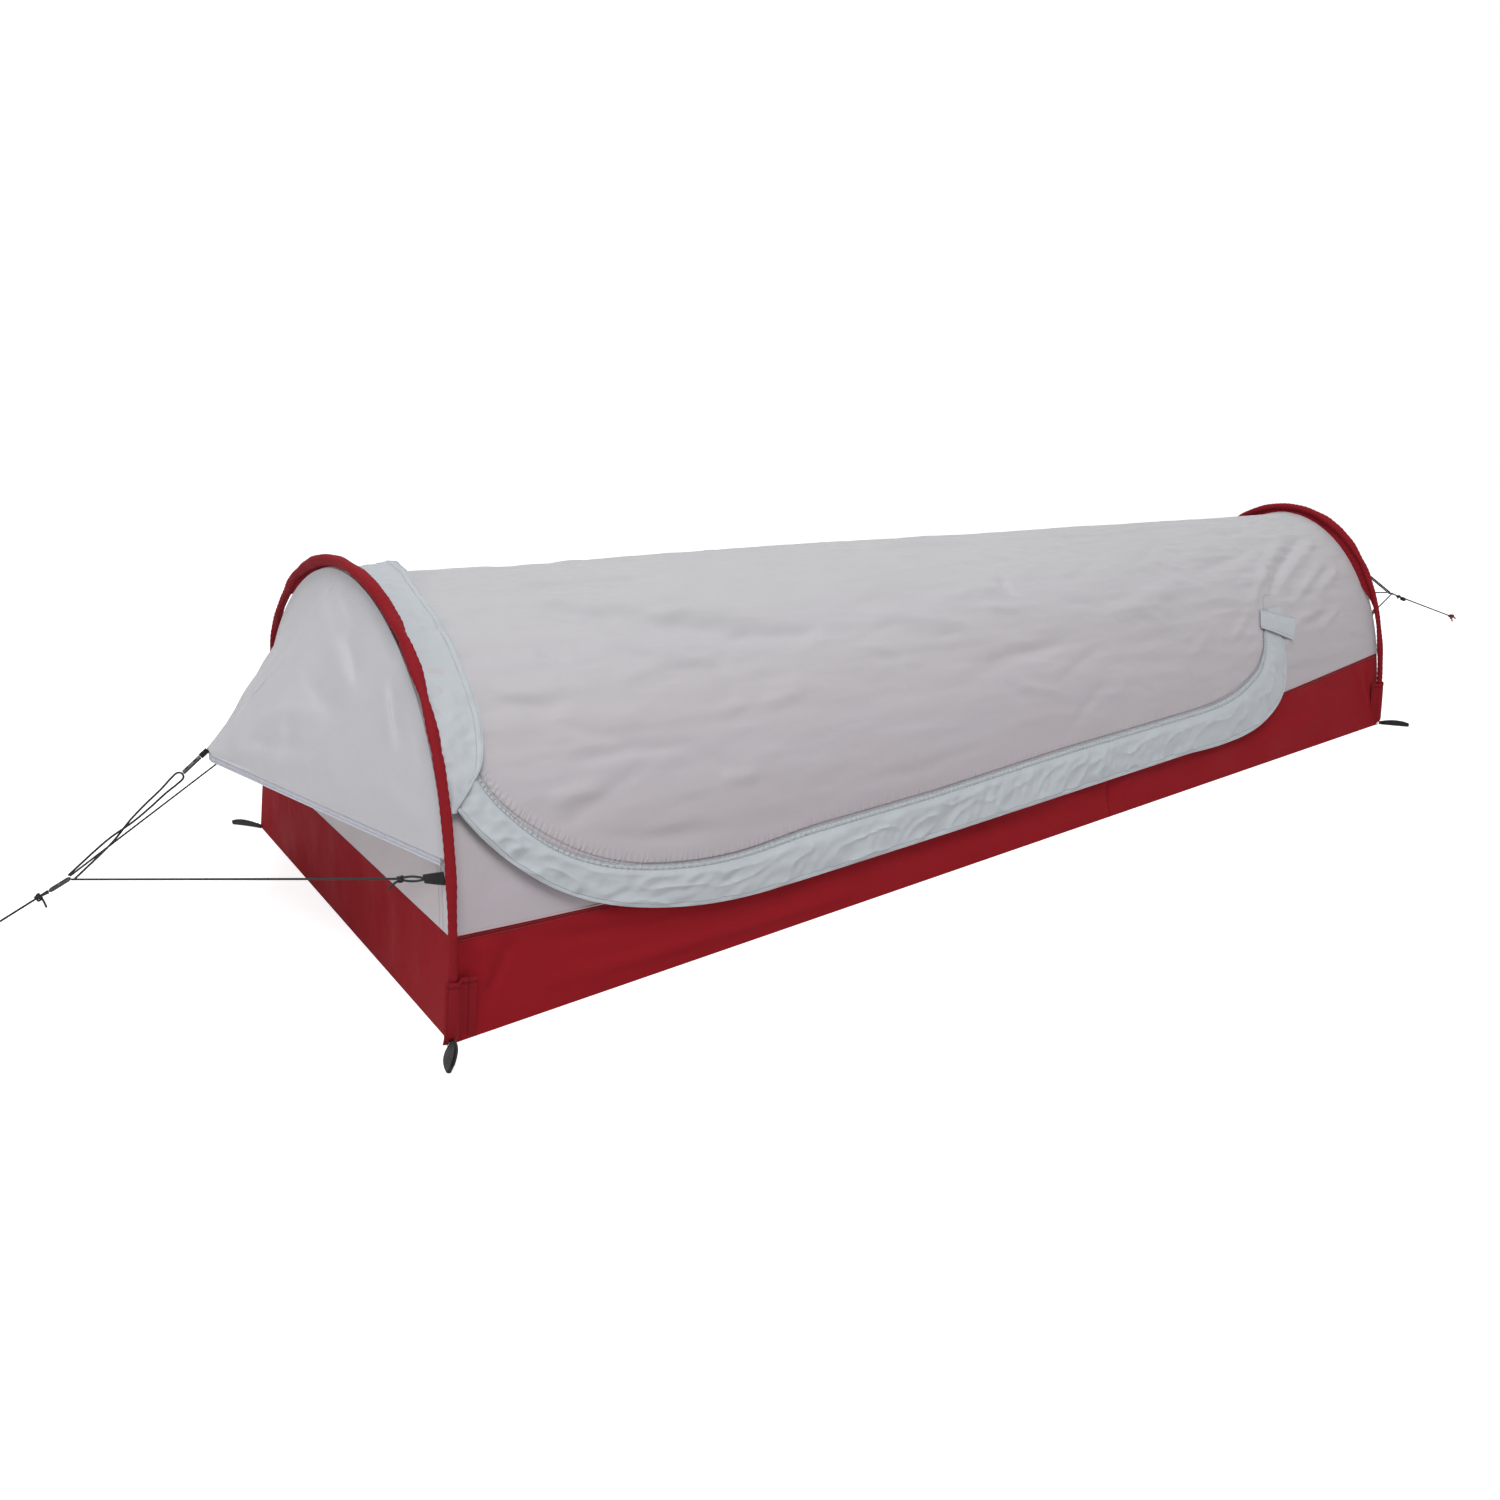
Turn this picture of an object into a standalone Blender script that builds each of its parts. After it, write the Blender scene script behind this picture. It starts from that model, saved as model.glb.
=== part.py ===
"""One-person hooped bivvy shelter: bathtub floor, grey canopy, two sleeved hoops, side door, guy lines.

The origin is the middle of the floor's underside. +X runs to the foot end, -Y is the door side, +Z is up.
All sizes are in metres. Places along the shelter are given as a distance from the head end.
"""
import bpy
import bmesh
from math import acos, asin, atan2, cos, copysign, exp, hypot, pi, radians, sin
from mathutils import Matrix, Vector

# Main sizes
LENGTH = 2.29
HEAD_FLOOR_WIDTH = 0.862
FOOT_FLOOR_WIDTH = 0.494
RIDGE_HEIGHT = 0.466
RIDGE_RISE = 0.0095
RIDGE_RISE_REACH = 0.02
FABRIC = 0.0012
GAP = 0.0003
SHARP_ANGLE = radians(40)
CUT_REACH = 0.02
SEAM = 0.0006
BODY_COLUMNS = 26
WALL_ROWS = 2
CANOPY_ROWS = 14

# Cross-sections are rounded arches: |y / half width| ^ across + (z / height) ^ up = 1
BODY_ACROSS = 1.9
BODY_UP = 2.6
HOOP_ACROSS = 2.05
HOOP_UP = 2.9

# Hoops: shock-corded poles that lean inwards, each in a sewn sleeve
HOOP_LEAN = 0.10
HOOP_INSET = 0.010
HEAD_POLE_SPAN = 0.881
FOOT_POLE_SPAN = 0.513
POLE_PEAK = 0.483
POLE_RADIUS = 0.00425
POLE_WALL = 0.0006
SPIGOT_RADIUS = 0.0030
SPIGOT_LENGTH = 0.030
SPIGOT_STEP = 0.002
SHOCK_CORD_RADIUS = 0.00125
POLE_FOOT_HEIGHT = 0.004
SLEEVE_RADIUS = 0.007
SLEEVE_WALL = 0.0008
SLEEVE_START = 0.068
HOOP_STATION = 0.045
HOOP_FINE_STEPS = 720
HEAD_POLE_SECTIONS = 4
FOOT_POLE_SECTIONS = 3

# Pole pockets at the four corners
POCKET_RADIUS = 0.0066
POCKET_BORE = 0.0052
POCKET_HEIGHT = 0.062
POCKET_PATCH = (0.030, 0.0012, 0.060)
POCKET_SINK = 0.0008
POCKET_LIFT = 0.0012

# Red bathtub walls: their height at the head, along the middle and at the foot
WALL_HEAD = 0.118
WALL_MIDDLE = 0.096
WALL_FOOT = 0.166
WALL_DIP_ENDS = 0.60
WALL_RISE_STARTS = 1.20

# Door leaf: its edge drops at the collar, turns along the wall and rises to a tab near the foot
DOOR_HEAD = 0.107
DOOR_HEAD_CURVE_TOP = 0.40
DOOR_HEAD_CURVE = (0.047, 0.13)
DOOR_HEAD_CORNER = (0.45, 0.30)
DOOR_HEAD_RADII = (0.40, 0.197)
DOOR_START_ANGLE = radians(9)
DOOR_FOOT_CORNER = (1.50, 0.255)
DOOR_FOOT_RADII = (0.31, 0.137)
DOOR_FOOT_SQUARENESS = 2.4
DOOR_RISE_TOP = (1.84, 0.302)
DOOR_CUT = 0.0006
DOOR_HINGE_GAP = 0.001
DOOR_EDGE_STEPS = 5

# Storm flap over the door's zip, and the zip itself
FLAP_INNER = -0.028
FLAP_OUTER = 0.040
FLAP_START_ANGLES = (radians(7.5), radians(12.0))
FLAP_PROUD = 0.0095
FLAP_SEAM_PROUD = 0.0018
FLAP_RISE = 0.28
FLAP_ROWS = 6
BAND_CLEAR_OF_SLEEVE = 0.004
TAB_CORNERS = ((1.779, 0.302), (1.905, 0.277), (1.872, 0.238), (1.768, 0.272))
TAB_PROUD = 0.0125
ZIP_START_ANGLE = radians(14)
ZIP_EDGE = 0.0012
ZIP_WIDTH = 0.012
ZIP_PROUD = 0.0016
ZIP_THICKNESS = 0.0011
ZIP_MEET = 0.95
SLIDER_SIZE = (0.011, 0.0075, 0.0036)
SLIDER_SIDE = 0.0062
SLIDER_LIFT = 0.0040
SLIDER_APART = 0.0136
SLIDER_BEVEL = 0.0008
PULL_BEVEL = 0.0004
PULL_SIZE = (0.020, 0.0050, 0.0012)

# Collar band behind the head hoop
COLLAR_PROUD = 0.0036
COLLAR_CLEAR_OF_SLEEVE = 0.003
COLLAR_END_HEIGHT = 0.252
COLLAR_FAR_HEIGHT = 0.440
COLLAR_CLEAR_OF_DOOR = 0.0012
COLLAR_COLUMNS = 24
COLLAR_ROWS = 3

# Head end panel and its mesh vent
PANEL_CLEAR = 0.0006
VENT_BOTTOM = 0.255
VENT_TOP = 0.425
VENT_HALF_WIDTH = 0.195
VENT_CORNER = 0.045
VENT_STEPS = 10
MESH_THICKNESS = 0.0006

# Hood over the head end
HOOD_TIP = (-0.136, 0.0, 0.255)
HOOD_TIP_WIDTH = 0.020
HOOD_SAG = 0.012
HOOD_LOW = 0.197
HOOD_COLUMNS = 20
HOOD_ROWS = 7
HOOD_HEM_STEPS = 10
HOOD_STAND_OFF = 0.0078
HOOD_HEM_WIDTH = 0.011
HOOD_HEM_THICKNESS = 0.0022
HOOD_HEM_DROP = 0.0022

# Stake loops: webbing on edge, bent into a long drop
LOOP_LENGTH = 0.064
LOOP_END_RADIUS = 0.0070
LOOP_WEBBING = 0.0014
LOOP_WIDTH = 0.015
LOOP_CLEAR = 0.0016
LOOP_ROOT = 0.002
LOOP_ROOT_HALF = 0.0022
LOOP_HOLE_START = 0.010
LOOP_HOLE_HALF = 0.0012
LOOP_WRAP = radians(100)
LOOP_STEPS = 10
HEAD_LOOP_TURN = radians(57)
FOOT_LOOP_TURN = radians(45)

# Guy lines
CORD = 0.0026
HEAD_RING = (-0.312, 0.0, 0.1215)
HEAD_KNOT = (-0.344, 0.0, 0.1045)
HEAD_LINE_END = (-0.420, 0.0, 0.067)
FOOT_RING = (2.786, 0.0, 0.2355)
FOOT_KNOT = (2.848, 0.0, 0.2170)
FOOT_LINE_END = (3.131, 0.0, 0.1465)
HEAD_TAB_HEIGHT = 0.190
FOOT_TAB_HEIGHT = 0.255
TAB_LENGTH = 0.018
TAB_ROOT_HEIGHT = 0.014
TAB_TIP_HEIGHT = 0.009
TAB_THICKNESS = 0.0022
TAB_STAND_OFF = 0.0036
BUCKLE_SIZE = (0.028, 0.0115, 0.0026)
BUCKLE_SLOT = (0.0050, 0.0070)
BUCKLE_SLOT_OFFSET = 0.007
BUCKLE_BEVEL = 0.0006
HOOD_LOOP_SIZE = (0.012, 0.012, 0.0020)
HOOD_LOOP_CLEAR = 0.0015
PEAK_LOOP_SIZE = (0.022, 0.012, 0.0020)
END_KNOT_RADIUS = 0.0075
KNOT_SWELL = 3.0
KNOT_LENGTH = 0.009
LEG_KNOT = 0.030
LINE_STEPS = 12
TWIN_SPREAD = 0.0042
TWIN_STRAIGHT = 0.94
TWIN_STEPS = 5
TWIN_TURN_STEPS = 6
LEG_SPREAD = 0.0076

GREY = (0.62, 0.61, 0.63)
PALE = (0.60, 0.65, 0.68)
RED = (0.26, 0.010, 0.016)
BLACK = (0.012, 0.012, 0.013)
CORD_GREY = (0.07, 0.07, 0.075)
ALUMINIUM = (0.62, 0.63, 0.65)
BROWN_RED = (0.22, 0.045, 0.035)
ZIP_GREY = (0.30, 0.31, 0.33)
MESH_GREY = (0.10, 0.10, 0.11)


def clear_scene():
    """Remove every object, so that the model starts from nothing."""
    for thing in list(bpy.data.objects):
        bpy.data.objects.remove(thing, do_unlink=True)


def material(name, colour, roughness=0.6, metallic=0.0):
    """A Principled material of one colour."""
    made = bpy.data.materials.new(name)
    made.use_nodes = True
    shader = made.node_tree.nodes["Principled BSDF"]
    shader.inputs["Base Color"].default_value = (*colour, 1.0)
    shader.inputs["Roughness"].default_value = roughness
    shader.inputs["Metallic"].default_value = metallic
    return made


def mix(a, b, share):
    """The value that lies a given share of the way from a to b."""
    return a + (b - a) * share


def place(from_head, y=0.0, z=0.0):
    """A point in the shelter's frame, from its distance to the head end."""
    return Vector((from_head - LENGTH / 2, y, z))


def add_object(name, mesh_or_curve, finish):
    """Put a mesh or a curve in the scene under its node's name."""
    thing = bpy.data.objects.new(name, mesh_or_curve)
    bpy.context.scene.collection.objects.link(thing)
    thing.data.materials.append(finish)
    return thing


def mesh_from(name, shape):
    """Turn a bmesh into a mesh with smooth shading and sharp folds."""
    mesh = bpy.data.meshes.new(name)
    bmesh.ops.recalc_face_normals(shape, faces=shape.faces)
    shape.to_mesh(mesh)
    shape.free()
    mesh.shade_smooth()
    mesh.set_sharp_from_angle(angle=SHARP_ANGLE)
    return mesh


def arch(half_width, height, across, up, angle):
    """A point (y, z) of an arch. The angle runs from 0 at the near floor edge to pi at the far one."""
    side = copysign(abs(cos(angle)) ** (2 / across), cos(angle))
    return -half_width * side, height * abs(sin(angle)) ** (2 / up)


def floor_half_width(along):
    """Half the floor's width, a share of the way from head to foot."""
    return mix(HEAD_FLOOR_WIDTH, FOOT_FLOOR_WIDTH, along) / 2


def ridge_height(along):
    """Height of the canopy's ridge, which climbs a little to each sleeve."""
    from_hoop = min(along, 1 - along) * LENGTH
    return RIDGE_HEIGHT + RIDGE_RISE * exp(-from_hoop / RIDGE_RISE_REACH)


def wall_height(along):
    """Height of the red walls, a share of the way from head to foot."""
    x = along * LENGTH
    height = WALL_MIDDLE
    if x < WALL_DIP_ENDS:
        height += (WALL_HEAD - WALL_MIDDLE) * (1 - x / WALL_DIP_ENDS) ** 2
    if x > WALL_RISE_STARTS:
        rise = (x - WALL_RISE_STARTS) / (LENGTH - WALL_RISE_STARTS)
        height += (WALL_FOOT - WALL_MIDDLE) * rise ** 1.15
    return height


def end_plane(along, z):
    """The x of a point on the body: its ends lean inwards with the hoops."""
    reach = LENGTH / 2 - HOOP_LEAN * z
    return mix(-reach, reach, along)


def body_point(along, angle, inwards=0.0):
    """A point on the body's skin, or a given depth inside it."""
    half = floor_half_width(along) - inwards
    y, z = arch(half, ridge_height(along) - inwards, BODY_ACROSS, BODY_UP, angle)
    return Vector((end_plane(along, z), y, z))


def station(u):
    """Spacing of the body's cross-sections, closer together near the hoops."""
    return 0.5 - 0.5 * cos(pi * u) * (0.55 + 0.45 * abs(cos(pi * u)))


def angle_at_height(along, z):
    """The near side's arch angle at a height."""
    return asin((z / ridge_height(along)) ** (BODY_UP / 2))


def share_along(x, z):
    """How far along the body a point is, between its leaning ends."""
    reach = LENGTH / 2 - HOOP_LEAN * z
    return min(max((x + reach) / (2 * reach), 0.0), 1.0)


def lifted(x, y, z, along, proud):
    """A point of the skin moved off it, along the skin's normal in its cross-section."""
    half, height = floor_half_width(along), ridge_height(along)
    slope_y = BODY_ACROSS * (abs(y) / half) ** (BODY_ACROSS - 1) / half
    slope_z = BODY_UP * (z / height) ** (BODY_UP - 1) / height
    size = hypot(slope_y, slope_z)
    return Vector((x, y + copysign(proud * slope_y / size, y), z + proud * slope_z / size))


def skin_point(from_head, angle, proud=0.0):
    """A point of the skin at a distance from the head and an arch angle, lifted off it."""
    x = from_head - LENGTH / 2
    _, z = arch(1.0, RIDGE_HEIGHT, BODY_ACROSS, BODY_UP, angle)
    along = share_along(x, z)
    y, z = arch(floor_half_width(along), ridge_height(along), BODY_ACROSS, BODY_UP, angle)
    return lifted(x, y, z, along, proud)


def near_side(from_head, z, proud=0.0):
    """A point of the near side at a distance from the head and a height, lifted off the skin."""
    x = from_head - LENGTH / 2
    along = share_along(x, z)
    share = min(z / ridge_height(along), 1.0) ** BODY_UP
    y = -floor_half_width(along) * (1 - share) ** (1 / BODY_ACROSS)
    return lifted(x, y, z, along, proud)


def shell(name, point, columns, rows, finish, thickness=FABRIC):
    """A thin closed sheet: a grid laid on a surface, thickened inwards."""
    shape = bmesh.new()
    bmesh.ops.create_grid(shape, x_segments=columns, y_segments=rows, size=0.5)
    for vertex in shape.verts:
        vertex.co = point(vertex.co.x + 0.5, vertex.co.y + 0.5)
    shape.normal_update()
    inside = Vector((0, 0, RIDGE_HEIGHT / 3))
    outward = sum(face.normal.dot(face.calc_center_median() - inside) for face in shape.faces)
    if outward < 0:
        bmesh.ops.reverse_faces(shape, faces=shape.faces)
    mesh = bpy.data.meshes.new(name)
    shape.to_mesh(mesh)
    shape.free()
    mesh.shade_smooth()
    mesh.set_sharp_from_angle(angle=SHARP_ANGLE)
    thing = add_object(name, mesh, finish)
    thicken = thing.modifiers.new("thickness", "SOLIDIFY")
    thicken.thickness = thickness
    thicken.offset = -1
    return thing


def prism(outline, thickness):
    """A bmesh plate: a closed outline with its thickness pushed along a vector."""
    shape = bmesh.new()
    face = shape.faces.new([shape.verts.new(point) for point in outline])
    grown = bmesh.ops.extrude_face_region(shape, geom=[face])
    moved = [item for item in grown["geom"] if isinstance(item, bmesh.types.BMVert)]
    bmesh.ops.translate(shape, verts=moved, vec=thickness)
    return shape


def slab(name, outline, thickness, finish):
    """A flat plate as a piece of its own."""
    return add_object(name, mesh_from(name, prism(outline, thickness)), finish)


def block(size, matrix):
    """A bmesh box of a size, placed by a matrix."""
    shape = bmesh.new()
    bmesh.ops.create_cube(shape, size=1.0, matrix=matrix @ Matrix.Diagonal((*size, 1.0)))
    return shape


def cylinder(radius, depth, matrix):
    """A bmesh cylinder, placed by a matrix."""
    shape = bmesh.new()
    bmesh.ops.create_cone(shape, cap_ends=True, segments=16, radius1=radius, radius2=radius, depth=depth,
                          matrix=matrix)
    return shape


def rounded_plate(name, size, pose, edge, finish):
    """A box of a size with bevelled edges, as a piece of its own."""
    shape = block(size, pose)
    bmesh.ops.bevel(shape, geom=shape.edges[:], offset=edge, segments=1, profile=0.5, affect="EDGES",
                    material=-1)
    return add_object(name, mesh_from(name, shape), finish)


def cutter(name, shape):
    """A hidden object, made from a bmesh, that other pieces are cut with."""
    thing = bpy.data.objects.new(name, mesh_from(name, shape))
    bpy.context.scene.collection.objects.link(thing)
    thing.hide_render = True
    thing.display_type = "WIRE"
    return thing


def cut(thing, tool, operation="DIFFERENCE"):
    """Cut a piece with another object, or join them."""
    step = thing.modifiers.new(operation.lower(), "BOOLEAN")
    step.operation = operation
    step.object = tool
    return thing


def frame_along(origin, direction, up=Vector((0, 0, 1))):
    """A matrix whose X runs along a direction, with Z as near to up as it can be."""
    x = Vector(direction).normalized()
    y = up.cross(x).normalized()
    z = x.cross(y)
    turned = Matrix((x, y, z)).transposed().to_4x4()
    return Matrix.Translation(origin) @ turned


def tube(name, points, radius, finish, resolution=2, wall=None, swell=()):
    """A round tube along points: solid with filled ends, or hollow with a wall.

    swell maps a point's index to how many times the radius is there, as at a knot or a spigot.
    """
    curve = bpy.data.curves.new(name, "CURVE")
    curve.dimensions = "3D"
    curve.bevel_depth = radius
    curve.bevel_resolution = resolution
    curve.use_fill_caps = wall is None
    spline = curve.splines.new("POLY")
    spline.points.add(len(points) - 1)
    for index, (spot, point) in enumerate(zip(spline.points, points)):
        spot.co = (*point, 1.0)
        spot.radius = dict(swell).get(index, 1.0)
    spline.use_smooth = True
    thing = add_object(name, curve, finish)
    if wall is not None:
        thicken = thing.modifiers.new("wall", "SOLIDIFY")
        thicken.thickness = wall
        thicken.offset = -1
    return thing


# Floor and walls

def make_floor(red):
    """The tapered groundsheet, inside the feet of the walls."""
    inset = FABRIC + GAP
    outline = []
    for along, side in ((0, -1), (1, -1), (1, 1), (0, 1)):
        x = (LENGTH / 2 - inset) * (1 if along else -1)
        outline.append(Vector((x, side * (floor_half_width(along) - inset), 0.0)))
    slab("groundsheet", outline, Vector((0, 0, FABRIC)), red)


def side_wall(name, side, red):
    """A long red wall, from the floor to its seam with the canopy."""
    def point(u, v):
        along = station(u)
        spot = body_point(along, angle_at_height(along, wall_height(along)) * v)
        return Vector((spot.x, -side * spot.y, spot.z))
    shell(name, point, BODY_COLUMNS, WALL_ROWS, red)


def end_outline(along, low, high, steps):
    """Outline of an end panel between two arch angles, in the leaning end plane, inside the sides."""
    clear = FABRIC + PANEL_CLEAR
    half, height = floor_half_width(along) - clear, ridge_height(along) - clear
    near = [arch(half, height, BODY_ACROSS, BODY_UP, mix(low, high, k / steps)) for k in range(steps + 1)]
    far = [(-y, z) for y, z in reversed(near) if abs(y) > SEAM]
    return [Vector((end_plane(along, z), y, z)) for y, z in near + far]


def end_panel(name, along, low, high, steps, finish):
    """A flat end piece of fabric that fits inside the side pieces."""
    inwards = FABRIC if along == 0 else -FABRIC
    return slab(name, end_outline(along, low, high, steps), Vector((inwards, 0, 0)), finish)


def vent_outline(shrink):
    """Rounded outline of the mesh vent in the head panel, in y and z."""
    half, low, high = VENT_HALF_WIDTH - shrink, VENT_BOTTOM + shrink, VENT_TOP - shrink
    spots = [(half, low), (-half, low)]
    for step in range(VENT_STEPS + 1):
        angle = pi - pi * step / VENT_STEPS
        spots.append((half * cos(angle), low + VENT_CORNER + (high - low - VENT_CORNER) * sin(angle)))
    return spots


def make_ends(red, grey, mesh_grey):
    """Red and grey end panels, with a mesh vent behind the hood."""
    panels = {}
    for along, wall, panel in ((0, "wall_head", "head_panel"), (1, "wall_foot", "foot_panel")):
        top = wall_height(along)
        end_panel(wall, along, 0.0, angle_at_height(along, top), WALL_ROWS, red)
        seam = angle_at_height(along, top + SEAM)
        panels[panel] = end_panel(panel, along, seam, pi / 2, CANOPY_ROWS, grey)
    hole = [Vector((end_plane(0, z) - CUT_REACH / 2, y, z)) for y, z in vent_outline(0.0)]
    cut(panels["head_panel"], cutter("vent_cutter", prism(hole, Vector((CUT_REACH, 0, 0)))))
    pane = [Vector((end_plane(0, z) + GAP, y, z)) for y, z in vent_outline(GAP)]
    slab("head_vent_mesh", pane, Vector((MESH_THICKNESS, 0, 0)), mesh_grey)


# Canopy and door

def door_head_edge(z):
    """Distance from the head end to the door's upright edge, which curves in at the bottom."""
    if z >= DOOR_HEAD_CURVE_TOP:
        return DOOR_HEAD
    reach, depth = DOOR_HEAD_CURVE
    return DOOR_HEAD - reach * ((DOOR_HEAD_CURVE_TOP - z) / depth) ** 2


def head_corner(angle, out):
    """A point of the door edge's head corner, pushed outwards."""
    x, z = DOOR_HEAD_CORNER
    wide, tall = DOOR_HEAD_RADII
    return x - (wide + out) * cos(angle), z - (tall + out) * sin(angle)


def foot_corner(angle, out):
    """A point of the door edge's foot corner, pushed outwards."""
    x, z = DOOR_FOOT_CORNER
    wide, tall = DOOR_FOOT_RADII
    power = 2 / DOOR_FOOT_SQUARENESS
    return x + (wide + out) * sin(angle) ** power, z - (tall + out) * abs(cos(angle)) ** power


def zip_line(start_angle, out, corner_steps=8, run_steps=9, rise_steps=3):
    """The zip's route from the head corner along the wall and up to the tab."""
    spots = [head_corner(mix(start_angle, pi / 2, k / corner_steps), out) for k in range(corner_steps + 1)]
    start, end = spots[-1], foot_corner(0, out)
    for k in range(1, run_steps):
        spots.append((mix(start[0], end[0], k / run_steps), mix(start[1], end[1], k / run_steps)))
    spots += [foot_corner(pi / 2 * k / corner_steps, out) for k in range(corner_steps + 1)]
    end, top = spots[-1], (DOOR_RISE_TOP[0] + out, DOOR_RISE_TOP[1])
    for k in range(1, rise_steps + 1):
        spots.append((mix(end[0], top[0], k / rise_steps), mix(end[1], top[1], k / rise_steps)))
    return spots


def door_outline(out):
    """The whole edge of the door leaf, closed above the ridge."""
    over = RIDGE_HEIGHT + CUT_REACH
    first = head_corner(DOOR_START_ANGLE, out)[1]
    heights = [mix(DOOR_HEAD_CURVE_TOP, first, k / DOOR_EDGE_STEPS) for k in range(DOOR_EDGE_STEPS)]
    spots = [(door_head_edge(z) - out, z) for z in [over] + heights]
    spots += zip_line(DOOR_START_ANGLE, out)
    spots.append((DOOR_RISE_TOP[0] + out, over))
    return spots


def door_cutter(name, out, inner_y):
    """A prism of the door's outline, run through the near side of the canopy to a given y."""
    outline = [Vector((x - LENGTH / 2, -HEAD_FLOOR_WIDTH, z)) for x, z in door_outline(out)]
    return cutter(name, prism(outline, Vector((0, HEAD_FLOOR_WIDTH + inner_y, 0))))


def canopy_half(name, side, ridge_gap, grey):
    """Half of the canopy, from the wall's seam up to the ridge."""
    def point(u, v):
        along = station(u)
        low = angle_at_height(along, wall_height(along) + SEAM)
        high = acos((ridge_gap / floor_half_width(along)) ** (BODY_ACROSS / 2))
        spot = body_point(along, mix(low, high, v))
        return Vector((spot.x, -side * spot.y, spot.z))
    return shell(name, point, BODY_COLUMNS, CANOPY_ROWS, grey)


def make_canopy(grey):
    """The far half, the near surround and the door leaf cut out of it."""
    canopy_half("canopy_far", 1, GAP, grey)
    surround = canopy_half("canopy_near", -1, GAP, grey)
    leaf = canopy_half("door_leaf", -1, DOOR_HINGE_GAP, grey)
    cut(surround, door_cutter("door_hole_cutter", DOOR_CUT, CUT_REACH))
    cut(leaf, door_cutter("door_leaf_cutter", -DOOR_CUT, -DOOR_HINGE_GAP / 2), "INTERSECT")


def band_point(u, v, start_angles, inner, outer, proud, spots):
    """A point on a band along the zip line, a share along it and a share across it."""
    out = mix(inner, outer, v)
    route = zip_line(mix(*start_angles, v), out)
    index = min(int(round(u * (len(route) - 1))), len(route) - 1)
    x, z = route[index]
    clear = HOOP_INSET + HOOP_LEAN * z + SLEEVE_RADIUS + BAND_CLEAR_OF_SLEEVE
    return near_side(max(x, clear), z, proud(v))


def band(name, start_angles, inner, outer, proud, rows, finish, thickness=FABRIC):
    """A strip of fabric or tape that follows the zip line."""
    count = len(zip_line(start_angles[0], 0.0))
    def point(u, v):
        return band_point(u, v, start_angles, inner, outer, proud, count)
    return shell(name, point, count - 1, rows, finish, thickness)


def make_flap_and_zip(pale, zip_grey):
    """The pale storm flap, its end tab, and the two tapes of the door's zip."""
    def flap_proud(v):
        rise = min(v / FLAP_RISE, 1.0)
        return mix(FLAP_SEAM_PROUD, FLAP_PROUD, rise * rise * (3 - 2 * rise))
    band("door_storm_flap", FLAP_START_ANGLES, FLAP_INNER, FLAP_OUTER, flap_proud, FLAP_ROWS, pale)
    def tab_point(u, v):
        a, b, c, d = TAB_CORNERS
        x = mix(mix(a[0], b[0], u), mix(d[0], c[0], u), v)
        z = mix(mix(a[1], b[1], u), mix(d[1], c[1], u), v)
        return near_side(x, z, TAB_PROUD)
    shell("storm_flap_tab", tab_point, 4, 3, pale)
    starts = (ZIP_START_ANGLE, ZIP_START_ANGLE)
    for name, inner, outer in (("zip_tape_door", -ZIP_EDGE - ZIP_WIDTH, -ZIP_EDGE),
                               ("zip_tape_body", ZIP_EDGE, ZIP_EDGE + ZIP_WIDTH)):
        band(name, starts, inner, outer, lambda v: ZIP_PROUD, 1, zip_grey, ZIP_THICKNESS)


def zip_run():
    """The straight lower run of the zip: its head end and its foot end on the skin."""
    return head_corner(pi / 2, SLIDER_SIDE), foot_corner(0, SLIDER_SIDE)


def make_sliders(plastic):
    """Two zip sliders that meet on the lower run, each with its pull."""
    (x0, z0), (x1, z1) = zip_run()
    way = (near_side(x1, z1) - near_side(x0, z0)).normalized()
    height = mix(z0, z1, (ZIP_MEET - x0) / (x1 - x0))
    skin = near_side(ZIP_MEET, height)
    out = near_side(ZIP_MEET, height, 1.0) - skin
    for end, turn in (("foot", 1), ("head", -1)):
        centre = skin + way * turn * SLIDER_APART / 2 + out * SLIDER_LIFT
        pose = frame_along(centre, way, out)
        rounded_plate(f"zip_slider_{end}", SLIDER_SIZE, pose, SLIDER_BEVEL, plastic)
        off = turn * (PULL_SIZE[0] - SLIDER_SIZE[0]) / 2
        lift = (SLIDER_SIZE[2] + PULL_SIZE[2]) / 2 + GAP
        over = pose @ Matrix.Translation((off, 0, lift))
        rounded_plate(f"zip_pull_{end}", PULL_SIZE, over, PULL_BEVEL, plastic)


def make_collar(pale):
    """The pale band behind the head hoop, from beside the door's corner over the ridge."""
    low = angle_at_height(0, COLLAR_END_HEIGHT)
    high = pi - angle_at_height(0, COLLAR_FAR_HEIGHT)
    def point(u, v):
        _, z = arch(1.0, RIDGE_HEIGHT, BODY_ACROSS, BODY_UP, mix(low, high, u))
        inner = HOOP_INSET + HOOP_LEAN * z + SLEEVE_RADIUS + COLLAR_CLEAR_OF_SLEEVE
        outer = door_head_edge(z) - DOOR_CUT - COLLAR_CLEAR_OF_DOOR
        return skin_point(mix(inner, outer, v), mix(low, high, u), COLLAR_PROUD)
    shell("collar_flap", point, COLLAR_COLUMNS, COLLAR_ROWS, pale)


# Hoops, sleeves and pockets

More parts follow.
